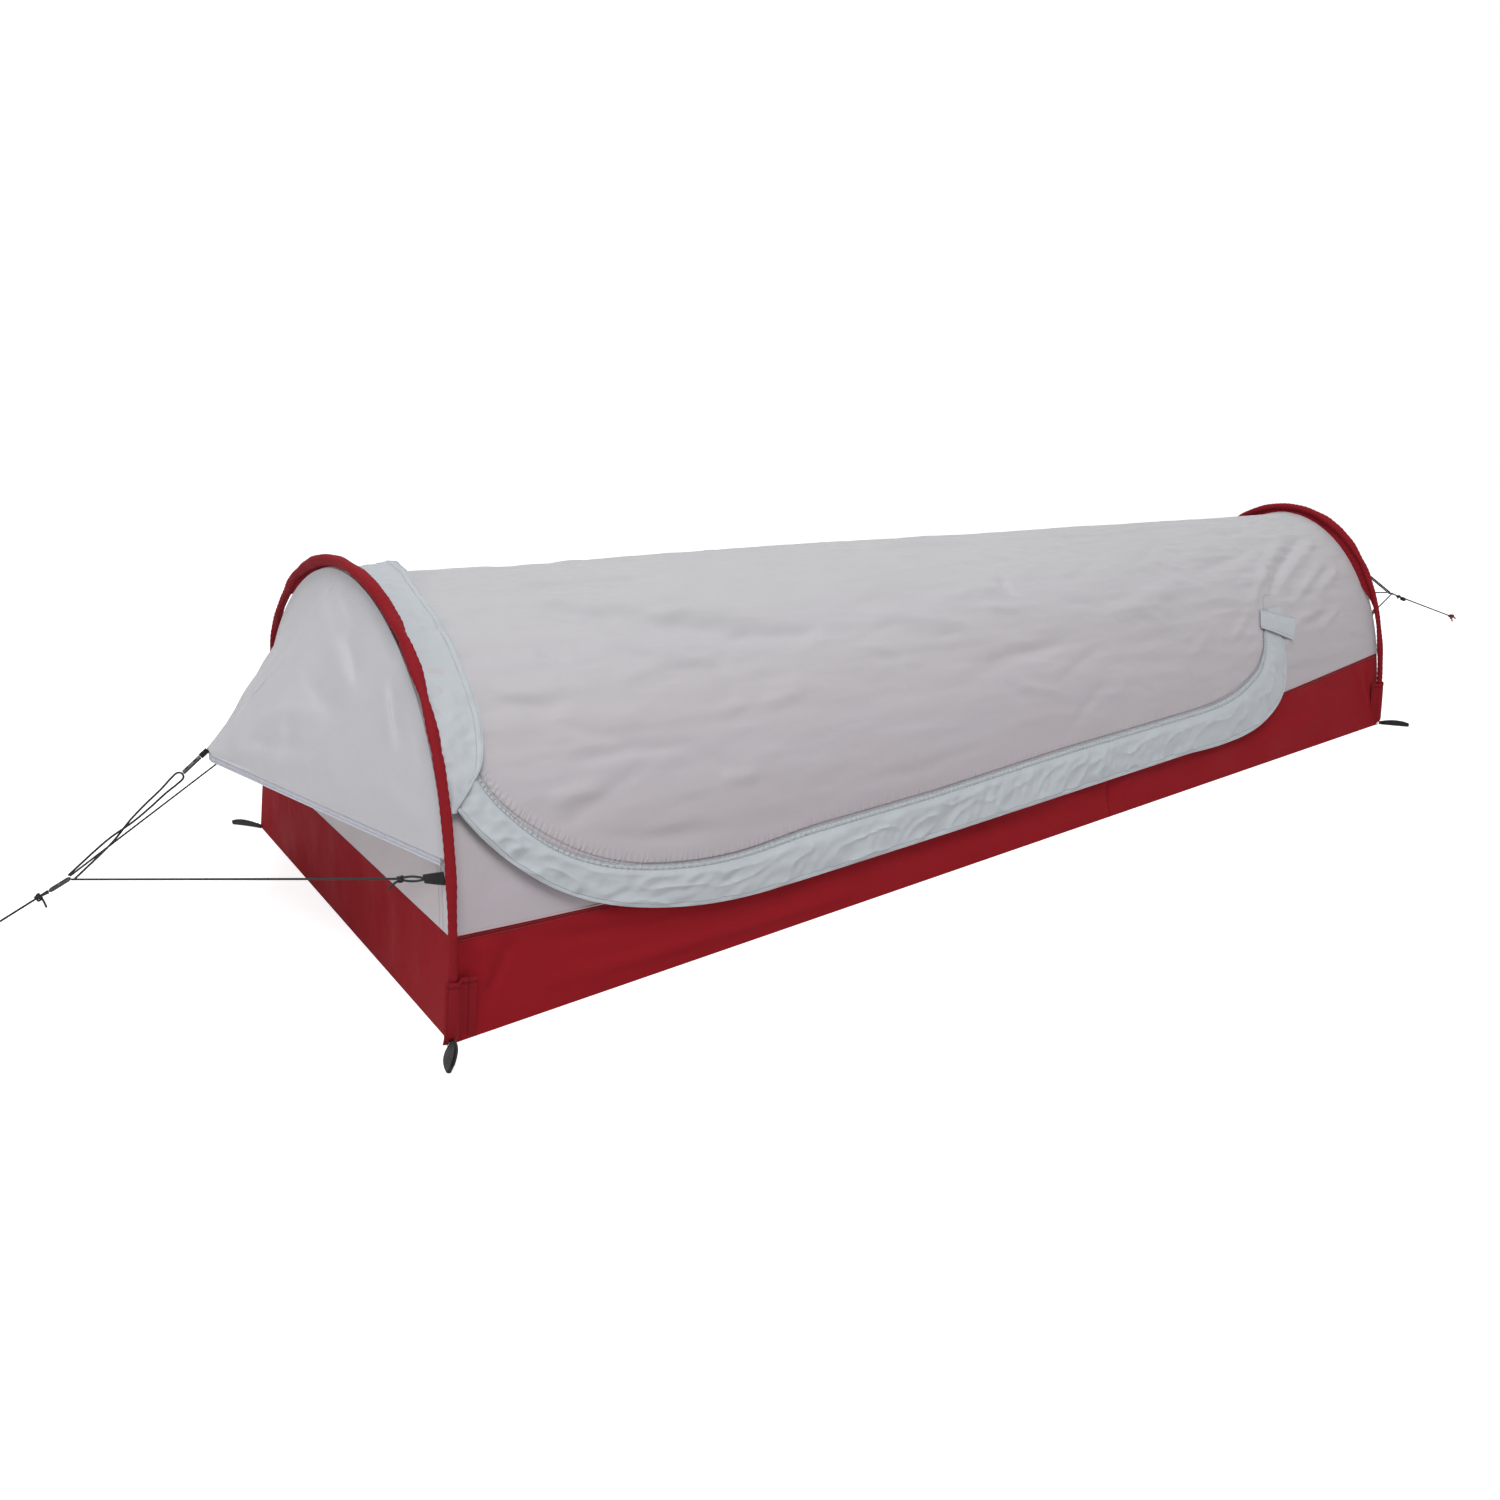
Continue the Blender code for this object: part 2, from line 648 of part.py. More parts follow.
def hoop_curve(head):
    """Points of a pole's centre line from the near foot to the far foot, with their distances."""
    span = HEAD_POLE_SPAN if head else FOOT_POLE_SPAN
    spots = []
    low = asin((POLE_FOOT_HEIGHT / POLE_PEAK) ** (HOOP_UP / 2))
    for step in range(HOOP_FINE_STEPS + 1):
        angle = mix(low, pi - low, step / HOOP_FINE_STEPS)
        y, z = arch(span / 2, POLE_PEAK, HOOP_ACROSS, HOOP_UP, angle)
        reach = LENGTH / 2 - HOOP_INSET - HOOP_LEAN * z
        spots.append(Vector((-reach if head else reach, y, z)))
    lengths = [0.0]
    for a, b in zip(spots, spots[1:]):
        lengths.append(lengths[-1] + (b - a).length)
    return spots, lengths


def hoop_point(head, distance, table):
    """The point at a distance along the pole."""
    spots, lengths = table[head]
    for index in range(1, len(lengths)):
        if lengths[index] >= distance:
            share = (distance - lengths[index - 1]) / (lengths[index] - lengths[index - 1])
            return spots[index - 1].lerp(spots[index], min(max(share, 0.0), 1.0))
    return spots[-1]


def hoop_run(head, start, end, table):
    """Points between two distances along the pole, at stations that every tube on it shares."""
    total = table[head][1][-1]
    sections = HEAD_POLE_SECTIONS if head else FOOT_POLE_SECTIONS
    length = total / sections
    steps = round((length - SPIGOT_LENGTH) / HOOP_STATION)
    in_section = [0.0, SPIGOT_LENGTH / 2]
    in_section += [mix(SPIGOT_LENGTH, length, k / steps) for k in range(steps)]
    grid = [length * section + along for section in range(sections) for along in in_section]
    stops = [start] + [d for d in grid if start + SPIGOT_STEP < d < end - SPIGOT_STEP / 2] + [end]
    return [hoop_point(head, stop, table) for stop in stops]


def make_hoop(head, table, aluminium, cord_grey):
    """One pole: hollow sections with a spigot into the next, and the elastic cord inside."""
    end = "head" if head else "foot"
    count = HEAD_POLE_SECTIONS if head else FOOT_POLE_SECTIONS
    total = table[head][1][-1]
    for index in range(count):
        start = total * index / count + (GAP if index else 0.0)
        stop = total * (index + 1) / count
        last = index == count - 1
        points = hoop_run(head, start, stop - (0.0 if last else SPIGOT_STEP), table)
        swell = {}
        if not last:
            for reach in (0.0, SPIGOT_LENGTH / 2, SPIGOT_LENGTH):
                swell[len(points)] = SPIGOT_RADIUS / POLE_RADIUS
                points.append(hoop_point(head, stop + reach, table))
        tube(f"{end}_pole_{index + 1}", points, POLE_RADIUS, aluminium, wall=POLE_WALL, swell=swell)
    inside = hoop_run(head, 2 * SPIGOT_STEP, total - 2 * SPIGOT_STEP, table)
    tube(f"{end}_shock_cord", inside, SHOCK_CORD_RADIUS, cord_grey, resolution=1)


def make_sleeve(head, table, red):
    """The sewn sleeve round the pole, open at both ends above the pockets."""
    total = table[head][1][-1]
    start = SLEEVE_START - POLE_FOOT_HEIGHT
    points = hoop_run(head, start, total - start, table)
    tube("head_sleeve" if head else "foot_sleeve", points, SLEEVE_RADIUS, red, wall=SLEEVE_WALL)


def make_pockets(head, table, red):
    """Fabric pockets on the side walls that hold the pole's feet."""
    end = "head" if head else "foot"
    for side, word in ((-1, "near"), (1, "far")):
        name = f"pole_pocket_{end}_{word}"
        foot = table[head][0][0 if side == -1 else -1]
        lean = Vector((HOOP_LEAN if head else -HOOP_LEAN, 0, 1)).normalized()
        upright = lean.to_track_quat("Z", "Y").to_matrix().to_4x4()
        middle = foot + lean * (POCKET_HEIGHT / 2 - POLE_FOOT_HEIGHT + POCKET_LIFT)
        base = Matrix.Translation(middle) @ upright
        cup = add_object(name, mesh_from(name, cylinder(POCKET_RADIUS, POCKET_HEIGHT, base)), red)
        wide, _, tall = POCKET_PATCH
        off = abs(foot.y) - POCKET_RADIUS + POCKET_SINK
        shift = wide / 4 if head else -wide / 4
        patch = Matrix.Translation((foot.x + shift, side * off, tall / 2 + GAP))
        cut(cup, cutter(name + "_patch", block(POCKET_PATCH, patch)), "UNION")
        raised = base @ Matrix.Translation((0, 0, FABRIC))
        cut(cup, cutter(name + "_bore", cylinder(POCKET_BORE, POCKET_HEIGHT, raised)))


# Hood

def hood_edge(angle):
    """The hood's sewn edge: on the head side of the sleeve."""
    y, z = arch(HEAD_POLE_SPAN / 2, POLE_PEAK, HOOP_ACROSS, HOOP_UP, angle)
    return Vector((-LENGTH / 2 + HOOP_INSET + HOOP_LEAN * z - HOOD_STAND_OFF, y, z))


def hood_point(u, v):
    """A point of the hood: u runs round the hoop, v from the hoop to the tip."""
    low = asin((HOOD_LOW / POLE_PEAK) ** (HOOP_UP / 2))
    start = hood_edge(mix(low, pi - low, u))
    tip = place(*HOOD_TIP)
    spread = Vector((0, -HOOD_TIP_WIDTH / 2 * cos(pi * u), HOOD_TIP_WIDTH * 0.3 * (sin(pi * u) - 0.5)))
    sag = Vector((0, 0, -HOOD_SAG * sin(pi * v) * sin(pi * u)))
    return start.lerp(tip + spread, v) + sag


def make_hood(grey):
    """The hood, drawn from the hoop to its tip, and the hem along its lower edge."""
    shell("head_hood", hood_point, HOOD_COLUMNS, HOOD_ROWS, grey)
    shares = [k / HOOD_HEM_STEPS for k in range(1, HOOD_HEM_STEPS + 1)]
    row = [hood_point(0, v) for v in shares] + [hood_point(1, v) for v in reversed(shares)]
    shape = bmesh.new()
    rings = []
    for index, spot in enumerate(row):
        way = row[min(index + 1, len(row) - 1)] - row[max(index - 1, 0)]
        half = way.cross(Vector((0, 0, 1))).normalized() * HOOD_HEM_THICKNESS / 2
        top = spot - Vector((0, 0, HOOD_HEM_DROP))
        low = top - Vector((0, 0, HOOD_HEM_WIDTH))
        rings.append([shape.verts.new(p) for p in (top - half, top + half, low + half, low - half)])
    for a, b in zip(rings, rings[1:]):
        for k in range(4):
            shape.faces.new((a[k], a[(k + 1) % 4], b[(k + 1) % 4], b[k]))
    shape.faces.new(rings[0])
    shape.faces.new(reversed(rings[-1]))
    add_object("hood_hem", mesh_from("hood_hem", shape), grey)


# Stake loops and guy lines

def make_stake_loop(name, corner, turn, black):
    """A drop-shaped loop of webbing on edge that lies outwards from a corner."""
    pose = Matrix.Translation(corner + Vector((0, 0, 2 * GAP))) @ Matrix.Rotation(turn, 4, "Z")
    outlines = []
    for start, half, radius in ((LOOP_ROOT, LOOP_ROOT_HALF, LOOP_END_RADIUS),
                                (LOOP_HOLE_START, LOOP_HOLE_HALF, LOOP_END_RADIUS - LOOP_WEBBING)):
        spots = [Vector((start, -half, 0))]
        for step in range(LOOP_STEPS + 1):
            angle = mix(-LOOP_WRAP, LOOP_WRAP, step / LOOP_STEPS)
            reach = LOOP_LENGTH - LOOP_END_RADIUS + radius * cos(angle)
            spots.append(Vector((reach, radius * sin(angle), 0)))
        outlines.append(spots + [Vector((start, half, 0))])
    outer, inner = outlines
    body = slab(name, [pose @ p for p in outer], Vector((0, 0, LOOP_WIDTH)), black)
    below = Vector((0, 0, CUT_REACH))
    hole = prism([pose @ p - below for p in inner], Vector((0, 0, LOOP_WIDTH)) + 2 * below)
    cut(body, cutter(name + "_hole", hole))


def make_stake_loops(black):
    """One stake loop at each corner of the floor."""
    for along, end in ((0, "head"), (1, "foot")):
        for side, word in ((-1, "near"), (1, "far")):
            turn = HEAD_LOOP_TURN if along == 0 else FOOT_LOOP_TURN
            outwards = atan2(side * sin(turn), (cos(turn) if along else -cos(turn)))
            corner = place(along * LENGTH, side * floor_half_width(along), 0.0)
            corner += Vector((cos(outwards), sin(outwards), 0)) * LOOP_CLEAR
            make_stake_loop(f"stake_loop_{end}_{word}", corner, outwards, black)


def corner_seam(head, side, z):
    """A point on the body's corner seam at a height."""
    along = 0 if head else 1
    height = ridge_height(along)
    y = floor_half_width(along) * (1 - (z / height) ** BODY_UP) ** (1 / BODY_ACROSS)
    return Vector((end_plane(along, z), side * y, z))


def ring_place(head):
    """Where the legs of a guy line meet."""
    return place(*(HEAD_RING if head else FOOT_RING))


def tab_root(head, side):
    """Where a guy tab is sewn to the corner seam, and the way that it points."""
    height = HEAD_TAB_HEIGHT if head else FOOT_TAB_HEIGHT
    seam = corner_seam(head, side, height)
    way = (ring_place(head) - seam).normalized()
    return seam + way * TAB_STAND_OFF, way


def make_guy_tabs(head, black):
    """Tapered webbing tabs on the corner seams that the side legs are tied to."""
    end = "head" if head else "foot"
    for side, word in ((-1, "near"), (1, "far")):
        root, way = tab_root(head, side)
        pose = frame_along(root, way)
        a, b, half = TAB_ROOT_HEIGHT / 2, TAB_TIP_HEIGHT / 2, TAB_THICKNESS / 2
        outline = [(0, -half, -a), (TAB_LENGTH, -half, -b), (TAB_LENGTH, -half, b), (0, -half, a)]
        slab(f"guy_tab_{end}_{word}", [pose @ Vector(p) for p in outline],
             pose.to_3x3() @ Vector((0, TAB_THICKNESS, 0)), black)


def ladder_buckle(name, centre, way, plastic):
    """A small flat buckle with two crosswise slots that a cord is threaded through."""
    pose = frame_along(centre, way)
    plate = rounded_plate(name, BUCKLE_SIZE, pose, BUCKLE_BEVEL, plastic)
    slot = (*BUCKLE_SLOT, CUT_REACH)
    for side, word in ((-1, "low"), (1, "high")):
        hole = block(slot, pose @ Matrix.Translation((side * BUCKLE_SLOT_OFFSET, 0, 0)))
        cut(plate, cutter(f"{name}_slot_{word}", hole))


def line_points(start, end, knots=()):
    """Points along a taut cord, closer together at its knots."""
    start, end = Vector(start), Vector(end)
    length = (end - start).length
    way = (end - start) / length
    stops = [length * k / LINE_STEPS for k in range(LINE_STEPS + 1)]
    swell = {}
    for knot in knots:
        low, high = knot - KNOT_LENGTH, knot + KNOT_LENGTH
        stops = [s for s in stops if not low - KNOT_LENGTH / 2 < s < high + KNOT_LENGTH / 2]
        stops = sorted(stops + [low, knot - KNOT_LENGTH / 2, knot + KNOT_LENGTH / 2, high])
    for index, stop in enumerate(stops):
        if any(abs(stop - knot) < KNOT_LENGTH * 0.75 for knot in knots):
            swell[index] = KNOT_SWELL
    return [start + way * s for s in stops], swell


def twin_leg(name, low, top, finish):
    """A doubled cord: one length that goes up to a fitting, round it and back."""
    down = (low - top).normalized()
    across = Vector((0, 1, 0)) * TWIN_SPREAD
    shares = [TWIN_STRAIGHT * k / TWIN_STEPS for k in range(TWIN_STEPS + 1)]
    turns = [pi * k / TWIN_TURN_STEPS for k in range(TWIN_TURN_STEPS + 1)]
    up_side = [low.lerp(top, s) + across * mix(0.5, 1.0, s) for s in shares]
    bend = [top + down * TWIN_SPREAD * (1 - sin(turn)) + across * cos(turn) for turn in turns]
    down_side = [low.lerp(top, s) - across * mix(0.5, 1.0, s) for s in reversed(shares)]
    return tube(name, up_side + bend + down_side, CORD / 2, finish)


def make_line(head, cord_grey):
    """One end's guy line: a near leg, a far leg and the main line, all from one ring."""
    end = "head" if head else "foot"
    ring = ring_place(head)
    last = place(*(HEAD_LINE_END if head else FOOT_LINE_END))
    knot_at = (place(*(HEAD_KNOT if head else FOOT_KNOT)) - ring).length
    line = (last - ring).normalized()
    half = BUCKLE_SIZE[0] / 2
    low = ring - line * (half + GAP)
    for side, word in ((-1, "near"), (1, "far")):
        root, way = tab_root(head, side)
        start = root + way * (TAB_LENGTH + 2 * GAP)
        points, swell = line_points(start, low + Vector((0, side * LEG_SPREAD, 0)), (LEG_KNOT,))
        tube(f"{end}_guy_{word}", points, CORD / 2, cord_grey, swell=swell)
    start = ring + line * (half + GAP)
    length = (last - start).length
    knots = (knot_at - half - GAP,) + ((length - 2 * KNOT_LENGTH,) if head else ())
    points, swell = line_points(start, last, knots)
    tube(f"{end}_guy_main", points, CORD / 2, cord_grey, swell=swell)
    return low, line


def make_head_line(cord_grey, black, plastic):
    """The head end's guy line, with its doubled leg to the buckle on the hood's tip."""
    low, line = make_line(True, cord_grey)
    ladder_buckle("head_line_ring", ring_place(True), line, plastic)
    tip = hood_point(0.5, 1.0)
    down = (low - tip).normalized()
    strap = tip + down * (HOOD_LOOP_SIZE[0] / 2 + HOOD_LOOP_CLEAR)
    add_object("hood_tip_loop", mesh_from("hood_tip_loop", block(HOOD_LOOP_SIZE, frame_along(strap, down))),
               black)
    buckle = strap + down * (HOOD_LOOP_SIZE[0] / 2 + GAP + BUCKLE_SIZE[0] / 2)
    ladder_buckle("hood_tip_buckle", buckle, down, plastic)
    twin_leg("head_guy_tip", low, buckle + down * (BUCKLE_SIZE[0] / 2 + CORD / 2 + GAP), cord_grey)


def make_foot_line(cord_grey, black, plastic, brown):
    """The foot end's guy line, with its doubled leg to a strap on the hoop's peak."""
    low, line = make_line(False, cord_grey)
    ladder_buckle("foot_line_ring", ring_place(False), line, plastic)
    peak = Vector((LENGTH / 2 - HOOP_INSET - HOOP_LEAN * POLE_PEAK, 0, POLE_PEAK))
    down = (low - peak).normalized()
    strap = peak + down * (SLEEVE_RADIUS + PEAK_LOOP_SIZE[0] / 2 + 3 * GAP)
    add_object("foot_peak_loop", mesh_from("foot_peak_loop", block(PEAK_LOOP_SIZE, frame_along(strap, down))),
               black)
    twin_leg("foot_guy_peak", low, strap + down * (PEAK_LOOP_SIZE[0] / 2 + CORD / 2 + GAP), cord_grey)
    shape = bmesh.new()
    centre = place(*FOOT_LINE_END) + line * (END_KNOT_RADIUS + GAP)
    bmesh.ops.create_uvsphere(shape, u_segments=12, v_segments=8, radius=END_KNOT_RADIUS,
                              matrix=frame_along(centre, line))
    add_object("foot_line_end_knot", mesh_from("foot_line_end_knot", shape), brown)


def main():
    """Build every piece of the shelter."""
    clear_scene()
    grey = material("canopy_grey", GREY, 0.55)
    pale = material("flap_pale", PALE, 0.5)
    red = material("floor_red", RED, 0.5)
    black = material("webbing_black", BLACK, 0.6)
    plastic = material("plastic_black", BLACK, 0.4)
    zip_grey = material("zip_grey", ZIP_GREY, 0.7)
    cord_grey = material("cord_grey", CORD_GREY, 0.7)
    aluminium = material("pole_aluminium", ALUMINIUM, 0.35, 1.0)
    mesh_grey = material("vent_mesh", MESH_GREY, 0.8)
    brown = material("end_knot_red", BROWN_RED, 0.7)
    make_floor(red)
    side_wall("wall_near", -1, red)
    side_wall("wall_far", 1, red)
    make_ends(red, grey, mesh_grey)
    make_canopy(grey)
    make_flap_and_zip(pale, zip_grey)
    make_sliders(plastic)
    make_collar(pale)
    table = {True: hoop_curve(True), False: hoop_curve(False)}
    for head in (True, False):
        make_hoop(head, table, aluminium, cord_grey)
        make_sleeve(head, table, red)
        make_pockets(head, table, red)
        make_guy_tabs(head, black)
    make_hood(grey)
    make_stake_loops(black)
    make_head_line(cord_grey, black, plastic)
    make_foot_line(cord_grey, black, plastic, brown)


if __name__ == "__main__":
    main()
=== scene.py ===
"""Bivvy shelter: cloth, webbing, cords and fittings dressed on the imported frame.

The file is laid out as an add-on and run as a script. +X runs to the foot end, -Y is the door side and
+Z is up. All sizes are in metres. Places along the shelter are given as a distance from the head end.
"""
from math import cos, pi, radians, sin

import bmesh
import bpy
import numpy as np
from bpy.props import FloatProperty, FloatVectorProperty, PointerProperty
from mathutils import Matrix, Vector, noise


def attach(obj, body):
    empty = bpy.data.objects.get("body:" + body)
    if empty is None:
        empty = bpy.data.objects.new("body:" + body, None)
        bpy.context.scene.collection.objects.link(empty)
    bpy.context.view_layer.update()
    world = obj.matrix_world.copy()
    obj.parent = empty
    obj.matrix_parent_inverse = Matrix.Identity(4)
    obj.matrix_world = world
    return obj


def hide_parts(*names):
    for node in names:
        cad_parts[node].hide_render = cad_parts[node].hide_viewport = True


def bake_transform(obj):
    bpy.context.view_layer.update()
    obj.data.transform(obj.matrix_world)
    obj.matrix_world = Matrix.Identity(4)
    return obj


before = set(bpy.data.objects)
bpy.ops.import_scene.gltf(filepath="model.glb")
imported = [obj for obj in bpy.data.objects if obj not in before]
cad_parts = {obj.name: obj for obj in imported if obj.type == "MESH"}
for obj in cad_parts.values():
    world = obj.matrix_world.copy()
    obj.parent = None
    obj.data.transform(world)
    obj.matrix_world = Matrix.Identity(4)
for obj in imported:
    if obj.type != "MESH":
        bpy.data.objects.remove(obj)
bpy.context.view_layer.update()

bl_info = {
    "name": "Bivvy shelter",
    "version": (1, 0, 0),
    "blender": (4, 5, 0),
    "location": "View3D > Sidebar > Shelter",
    "description": "Dresses a hooped bivvy shelter with cloth, webbing, cords and fittings",
    "category": "Object",
}

# The body's surface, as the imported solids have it
LENGTH = 2.29
HEAD_FLOOR_WIDTH = 0.862
FOOT_FLOOR_WIDTH = 0.494
RIDGE_HEIGHT = 0.466
RIDGE_RISE = 0.0095
RIDGE_RISE_REACH = 0.02
GAP = 0.0003
SEAM = 0.0006
BODY_ACROSS = 1.9
BODY_UP = 2.6
WALL_HEAD = 0.118
WALL_MIDDLE = 0.096
WALL_FOOT = 0.166
WALL_DIP_ENDS = 0.60
WALL_RISE_STARTS = 1.20

# The two ends and the two sides
END_SHARE = {"head": 0.0, "foot": 1.0}
INWARDS = {"head": 1.0, "foot": -1.0}
SIDES = {"near": -1, "far": 1}

# A place inside the shelter, which outer faces turn away from
INSIDE = (0.0, 0.0, RIDGE_HEIGHT / 3)
UP = np.array((0.0, 0.0, 1.0))

# Hoops and their sleeves
HOOP_ACROSS = 2.05
HOOP_UP = 2.9
HOOP_LEAN = 0.10
HOOP_INSET = 0.010
HEAD_HOOP_SHIFT = -0.0115
HEAD_INSET = HOOP_INSET + HEAD_HOOP_SHIFT
POLE_SPAN = {"head": 0.881, "foot": 0.513}
POLE_PEAK = 0.483
POLE_FOOT_HEIGHT = 0.004
SLEEVE_RADIUS = 0.007
SLEEVE_START = 0.056
SLEEVE_SIDES = 20
SLEEVE_LEAST = 0.00455
SLEEVE_HEIGHTS = (0.06, 0.16, 0.32, 0.47)
SLEEVE_SIZES = (0.0048, 0.0050, 0.0056, 0.0069)
SLEEVE_TWIST = {"head": 1, "foot": 2}
SLEEVE_BUNCHES = ((0.331, 0.011, 0.16), (0.362, 0.009, -0.16), (0.312, 0.007, -0.14), (0.392, 0.010, 0.1))
SLEEVE_CLOTH = 0.0006
WEB_ENDS = {"head": (0.377, 0.41), "foot": (0.262, 0.30)}
WEB_ON_BODY = {"head": 0.0015, "foot": 0.0070}
WEB_ON_SLEEVE = 0.0044

# Floor tray and pole pockets
FLOOR_FLARE = (0.009, 0.09)
CORNER_FIN = 0.0095
CORNER_FIN_REACH = 0.06
PANEL_CLEAR = 0.0005
WALL_CLEAR = 0.0011
WALL_ROLL = 0.0008
WALL_STITCHES = (("upper", 0.0022), ("lower", 0.0058))
BINDING_LIFT = 0.0008
BINDING_RADIUS = 0.0011
FLOOR_HEIGHT = 0.0012
POCKET_BASE = 0.0014
POCKET_HEIGHT = {"head": 0.0760, "foot": 0.1020}
POCKET_SLANT = 0.006
POCKET_REACH = {"head": 0.0300, "foot": 0.0250}
POCKET_BACK = -0.0085
POCKET_FLAT = -0.0036
POCKET_PEAK = 0.0073
POCKET_BULGE = 0.0092
POCKET_CLOTH = 0.0009

# Door, storm flap, zip and collar
DOOR_HEAD = 0.107
DOOR_HEAD_CURVE_TOP = 0.40
DOOR_HEAD_CURVE = (0.047, 0.13)
DOOR_HEAD_CORNER = (0.45, 0.30)
DOOR_HEAD_RADII = (0.40, 0.197)
DOOR_START_ANGLE = radians(9)
DOOR_FOOT_CORNER = (1.50, 0.255)
DOOR_FOOT_RADII = (0.31, 0.137)
DOOR_FOOT_SQUARENESS = 2.4
DOOR_RISE_TOP = (1.84, 0.302)
DOOR_OVER_RIDGE = 0.06
DOOR_SNAP_TOP = 0.42
DOOR_EDGE_ENDS = 1.55
FLAP_EDGES = (
    (0.000, -0.0250, 0.0230), (0.030, -0.0238, 0.0220), (0.050, -0.0240, 0.0233), (0.075, -0.0200, 0.0263),
    (0.100, -0.0155, 0.0315), (0.130, -0.0135, 0.0354), (0.170, -0.0152, 0.0371), (0.210, -0.0170, 0.0389),
    (0.280, -0.0240, 0.0416), (0.410, -0.0225, 0.0440), (0.570, -0.0285, 0.0452), (0.770, -0.0285, 0.0464),
    (0.810, -0.0305, 0.0540), (0.840, -0.0330, 0.0625), (0.870, -0.0365, 0.0676), (0.900, -0.0345, 0.0655),
    (0.930, -0.0370, 0.0490), (0.955, -0.0320, 0.0420), (0.980, -0.0240, 0.0400), (1.000, -0.0240, 0.0400),
)
FLAP_START_ANGLES = (radians(7.5), radians(12.0))
FLAP_LENGTH = 1.95
FLAP_PROUD = 0.0092
FLAP_SEAM_PROUD = 0.0020
FLAP_RISE = 0.28
FLAP_ROLL = 0.0014
FLAP_ROLL_PITCH = 0.011
BAND_HEM = 0.0007
BAND_CLEAR_OF_SLEEVE = 0.004
TAB_CORNERS = ((1.792, 0.303), (1.915, 0.277), (1.886, 0.234), (1.774, 0.270))
TAB_PROUD = 0.0064
TAB_SEAM_PROUD = 0.0042
ZIP_BREAKS = (0.24, 0.775, 0.97)
ZIP_START_ANGLE = radians(14)
ZIP_EDGE = 0.0012
ZIP_WIDTH = 0.012
ZIP_PROUD = 0.0016
ZIP_CLOTH = 0.0006
COIL_STOPS = 5200
COIL_RADIUS = 0.0005
COIL_WAVE = 0.00035
COIL_LIFT = 0.0002
COLLAR_LENGTH = 0.9
COLLAR_GATHER = 0.012
COLLAR_PROUD = 0.0030
COLLAR_OVER_FLAP = 0.0085
COLLAR_CLEAR_OF_SLEEVE = 0.002
COLLAR_END_HEIGHT = 0.245
COLLAR_FAR_HEIGHT = 0.440
COLLAR_EDGE = (
    (0.280, 0.036), (0.298, 0.052), (0.320, 0.066), (0.343, 0.081), (0.373, 0.090), (0.410, 0.097),
    (0.450, 0.102), (0.504, 0.104), (0.554, 0.106), (0.645, 0.109), (0.780, 0.110), (0.906, 0.119),
    (1.000, 0.121), (1.100, 0.114), (1.300, 0.108),
)
COLLAR_PEAK_LIFT = 0.0115
RIDGE_SAG = 0.0050
RIDGE_SAG_PLACE = 0.30
RIDGE_SAG_REACH = 0.24
RIDGE_TAPE_REACH = (0.112, 0.80)
RIDGE_TAPE_ANGLE = 0.036
RIDGE_TAPE_DEPTH = 0.0014
RIDGE_TAPE_TURN = 0.009
RIDGE_TAPE_CLOTH = 0.0005

# Head end
VENT_BOTTOM = 0.255
VENT_TOP = 0.425
VENT_HALF_WIDTH = 0.195
VENT_CORNER = 0.045
VENT_STITCHES_OUT = 0.004
NET_DEPTH = 0.0004
NET_THREAD = 0.0003
HOOD_TIP = (-0.136, 0.0, 0.255)
HOOD_TIP_WIDTH = 0.020
HOOD_SAG = 0.014
HOOD_LOW = 0.217
HOOD_ON_SEAM = (0.62, 0.95)
HOOD_SEAM = 0.0016
HOOD_SEAM_WIDTH = 0.006
HOOD_ROUND = 0.9
HOOD_HEM_WIDTH = 0.0098
HOOD_HEM_DROP = -0.0006
HOOD_HEM_CLOTH = 0.0016

# Webbing and guy lines
LOOP_LENGTH = 0.064
LOOP_END_RADIUS = 0.0046
LOOP_WIDTH = 0.015
LOOP_CLEAR = 0.0016
LOOP_BEND = 0.022
LOOP_ROOT = (0.0008, 0.0016)
LOOP_ROOT_HEIGHT = 0.0052
LOOP_RISE = 0.0060
LOOP_CLOTH = 0.0012
LOOP_STOPS = 110
LOOP_LEAN = {("head", "near"): 0.0125, ("head", "far"): 0.0040,
             ("foot", "near"): 0.0040, ("foot", "far"): 0.0040}
LOOP_TURNS = {("head", "near"): radians(69), ("head", "far"): radians(55),
              ("foot", "near"): radians(60), ("foot", "far"): radians(45)}
TACK_PLACE = 0.0085
TACK_STOPS = 40
TACK_WIDTH = 0.0022
GUY_RING = {"head": (-0.320, 0.0, 0.1155), "foot": (2.786, 0.0, 0.2355)}
GUY_KNOT = {"head": (-0.344, 0.0, 0.1045), "foot": (2.848, 0.0, 0.2170)}
LINE_END = {"head": (-0.420, 0.0, 0.067), "foot": (3.131, 0.0, 0.1465)}
TAB_HEIGHT = {"head": 0.181, "foot": 0.255}
TAB_LENGTH = {"head": 0.0255, "foot": 0.018}
TAB_WIDTHS = (0.0150, 0.0095)
TAB_STAND_OFF = 0.0036
FOLDED_LAYER = 0.0009
BUCKLE_LENGTH = 0.028
BUCKLE_HALF_WIDTH = 0.0042
BUCKLE_CORNER = 0.0040
BUCKLE_END = 0.0055
BUCKLE_ROD = 0.0016
BAR_ROD = 0.0017
HOOD_LOOP_LENGTH = 0.012
HOOD_LOOP_WIDTH = 0.0066
HOOD_LOOP_CLEAR = 0.0015
PEAK_LOOP_LENGTH = 0.022
PEAK_LOOP_WIDTH = 0.0100
FITTING_ROD = 0.0013
END_KNOT_RADIUS = 0.0075
LEG_KNOT = 0.030
LEG_BOW = 0.0020
TWIN_SPREAD = {"head": 0.0036, "foot": 0.0017}
CORD_BEND = 2.15
LEG_SPREAD = 0.0076
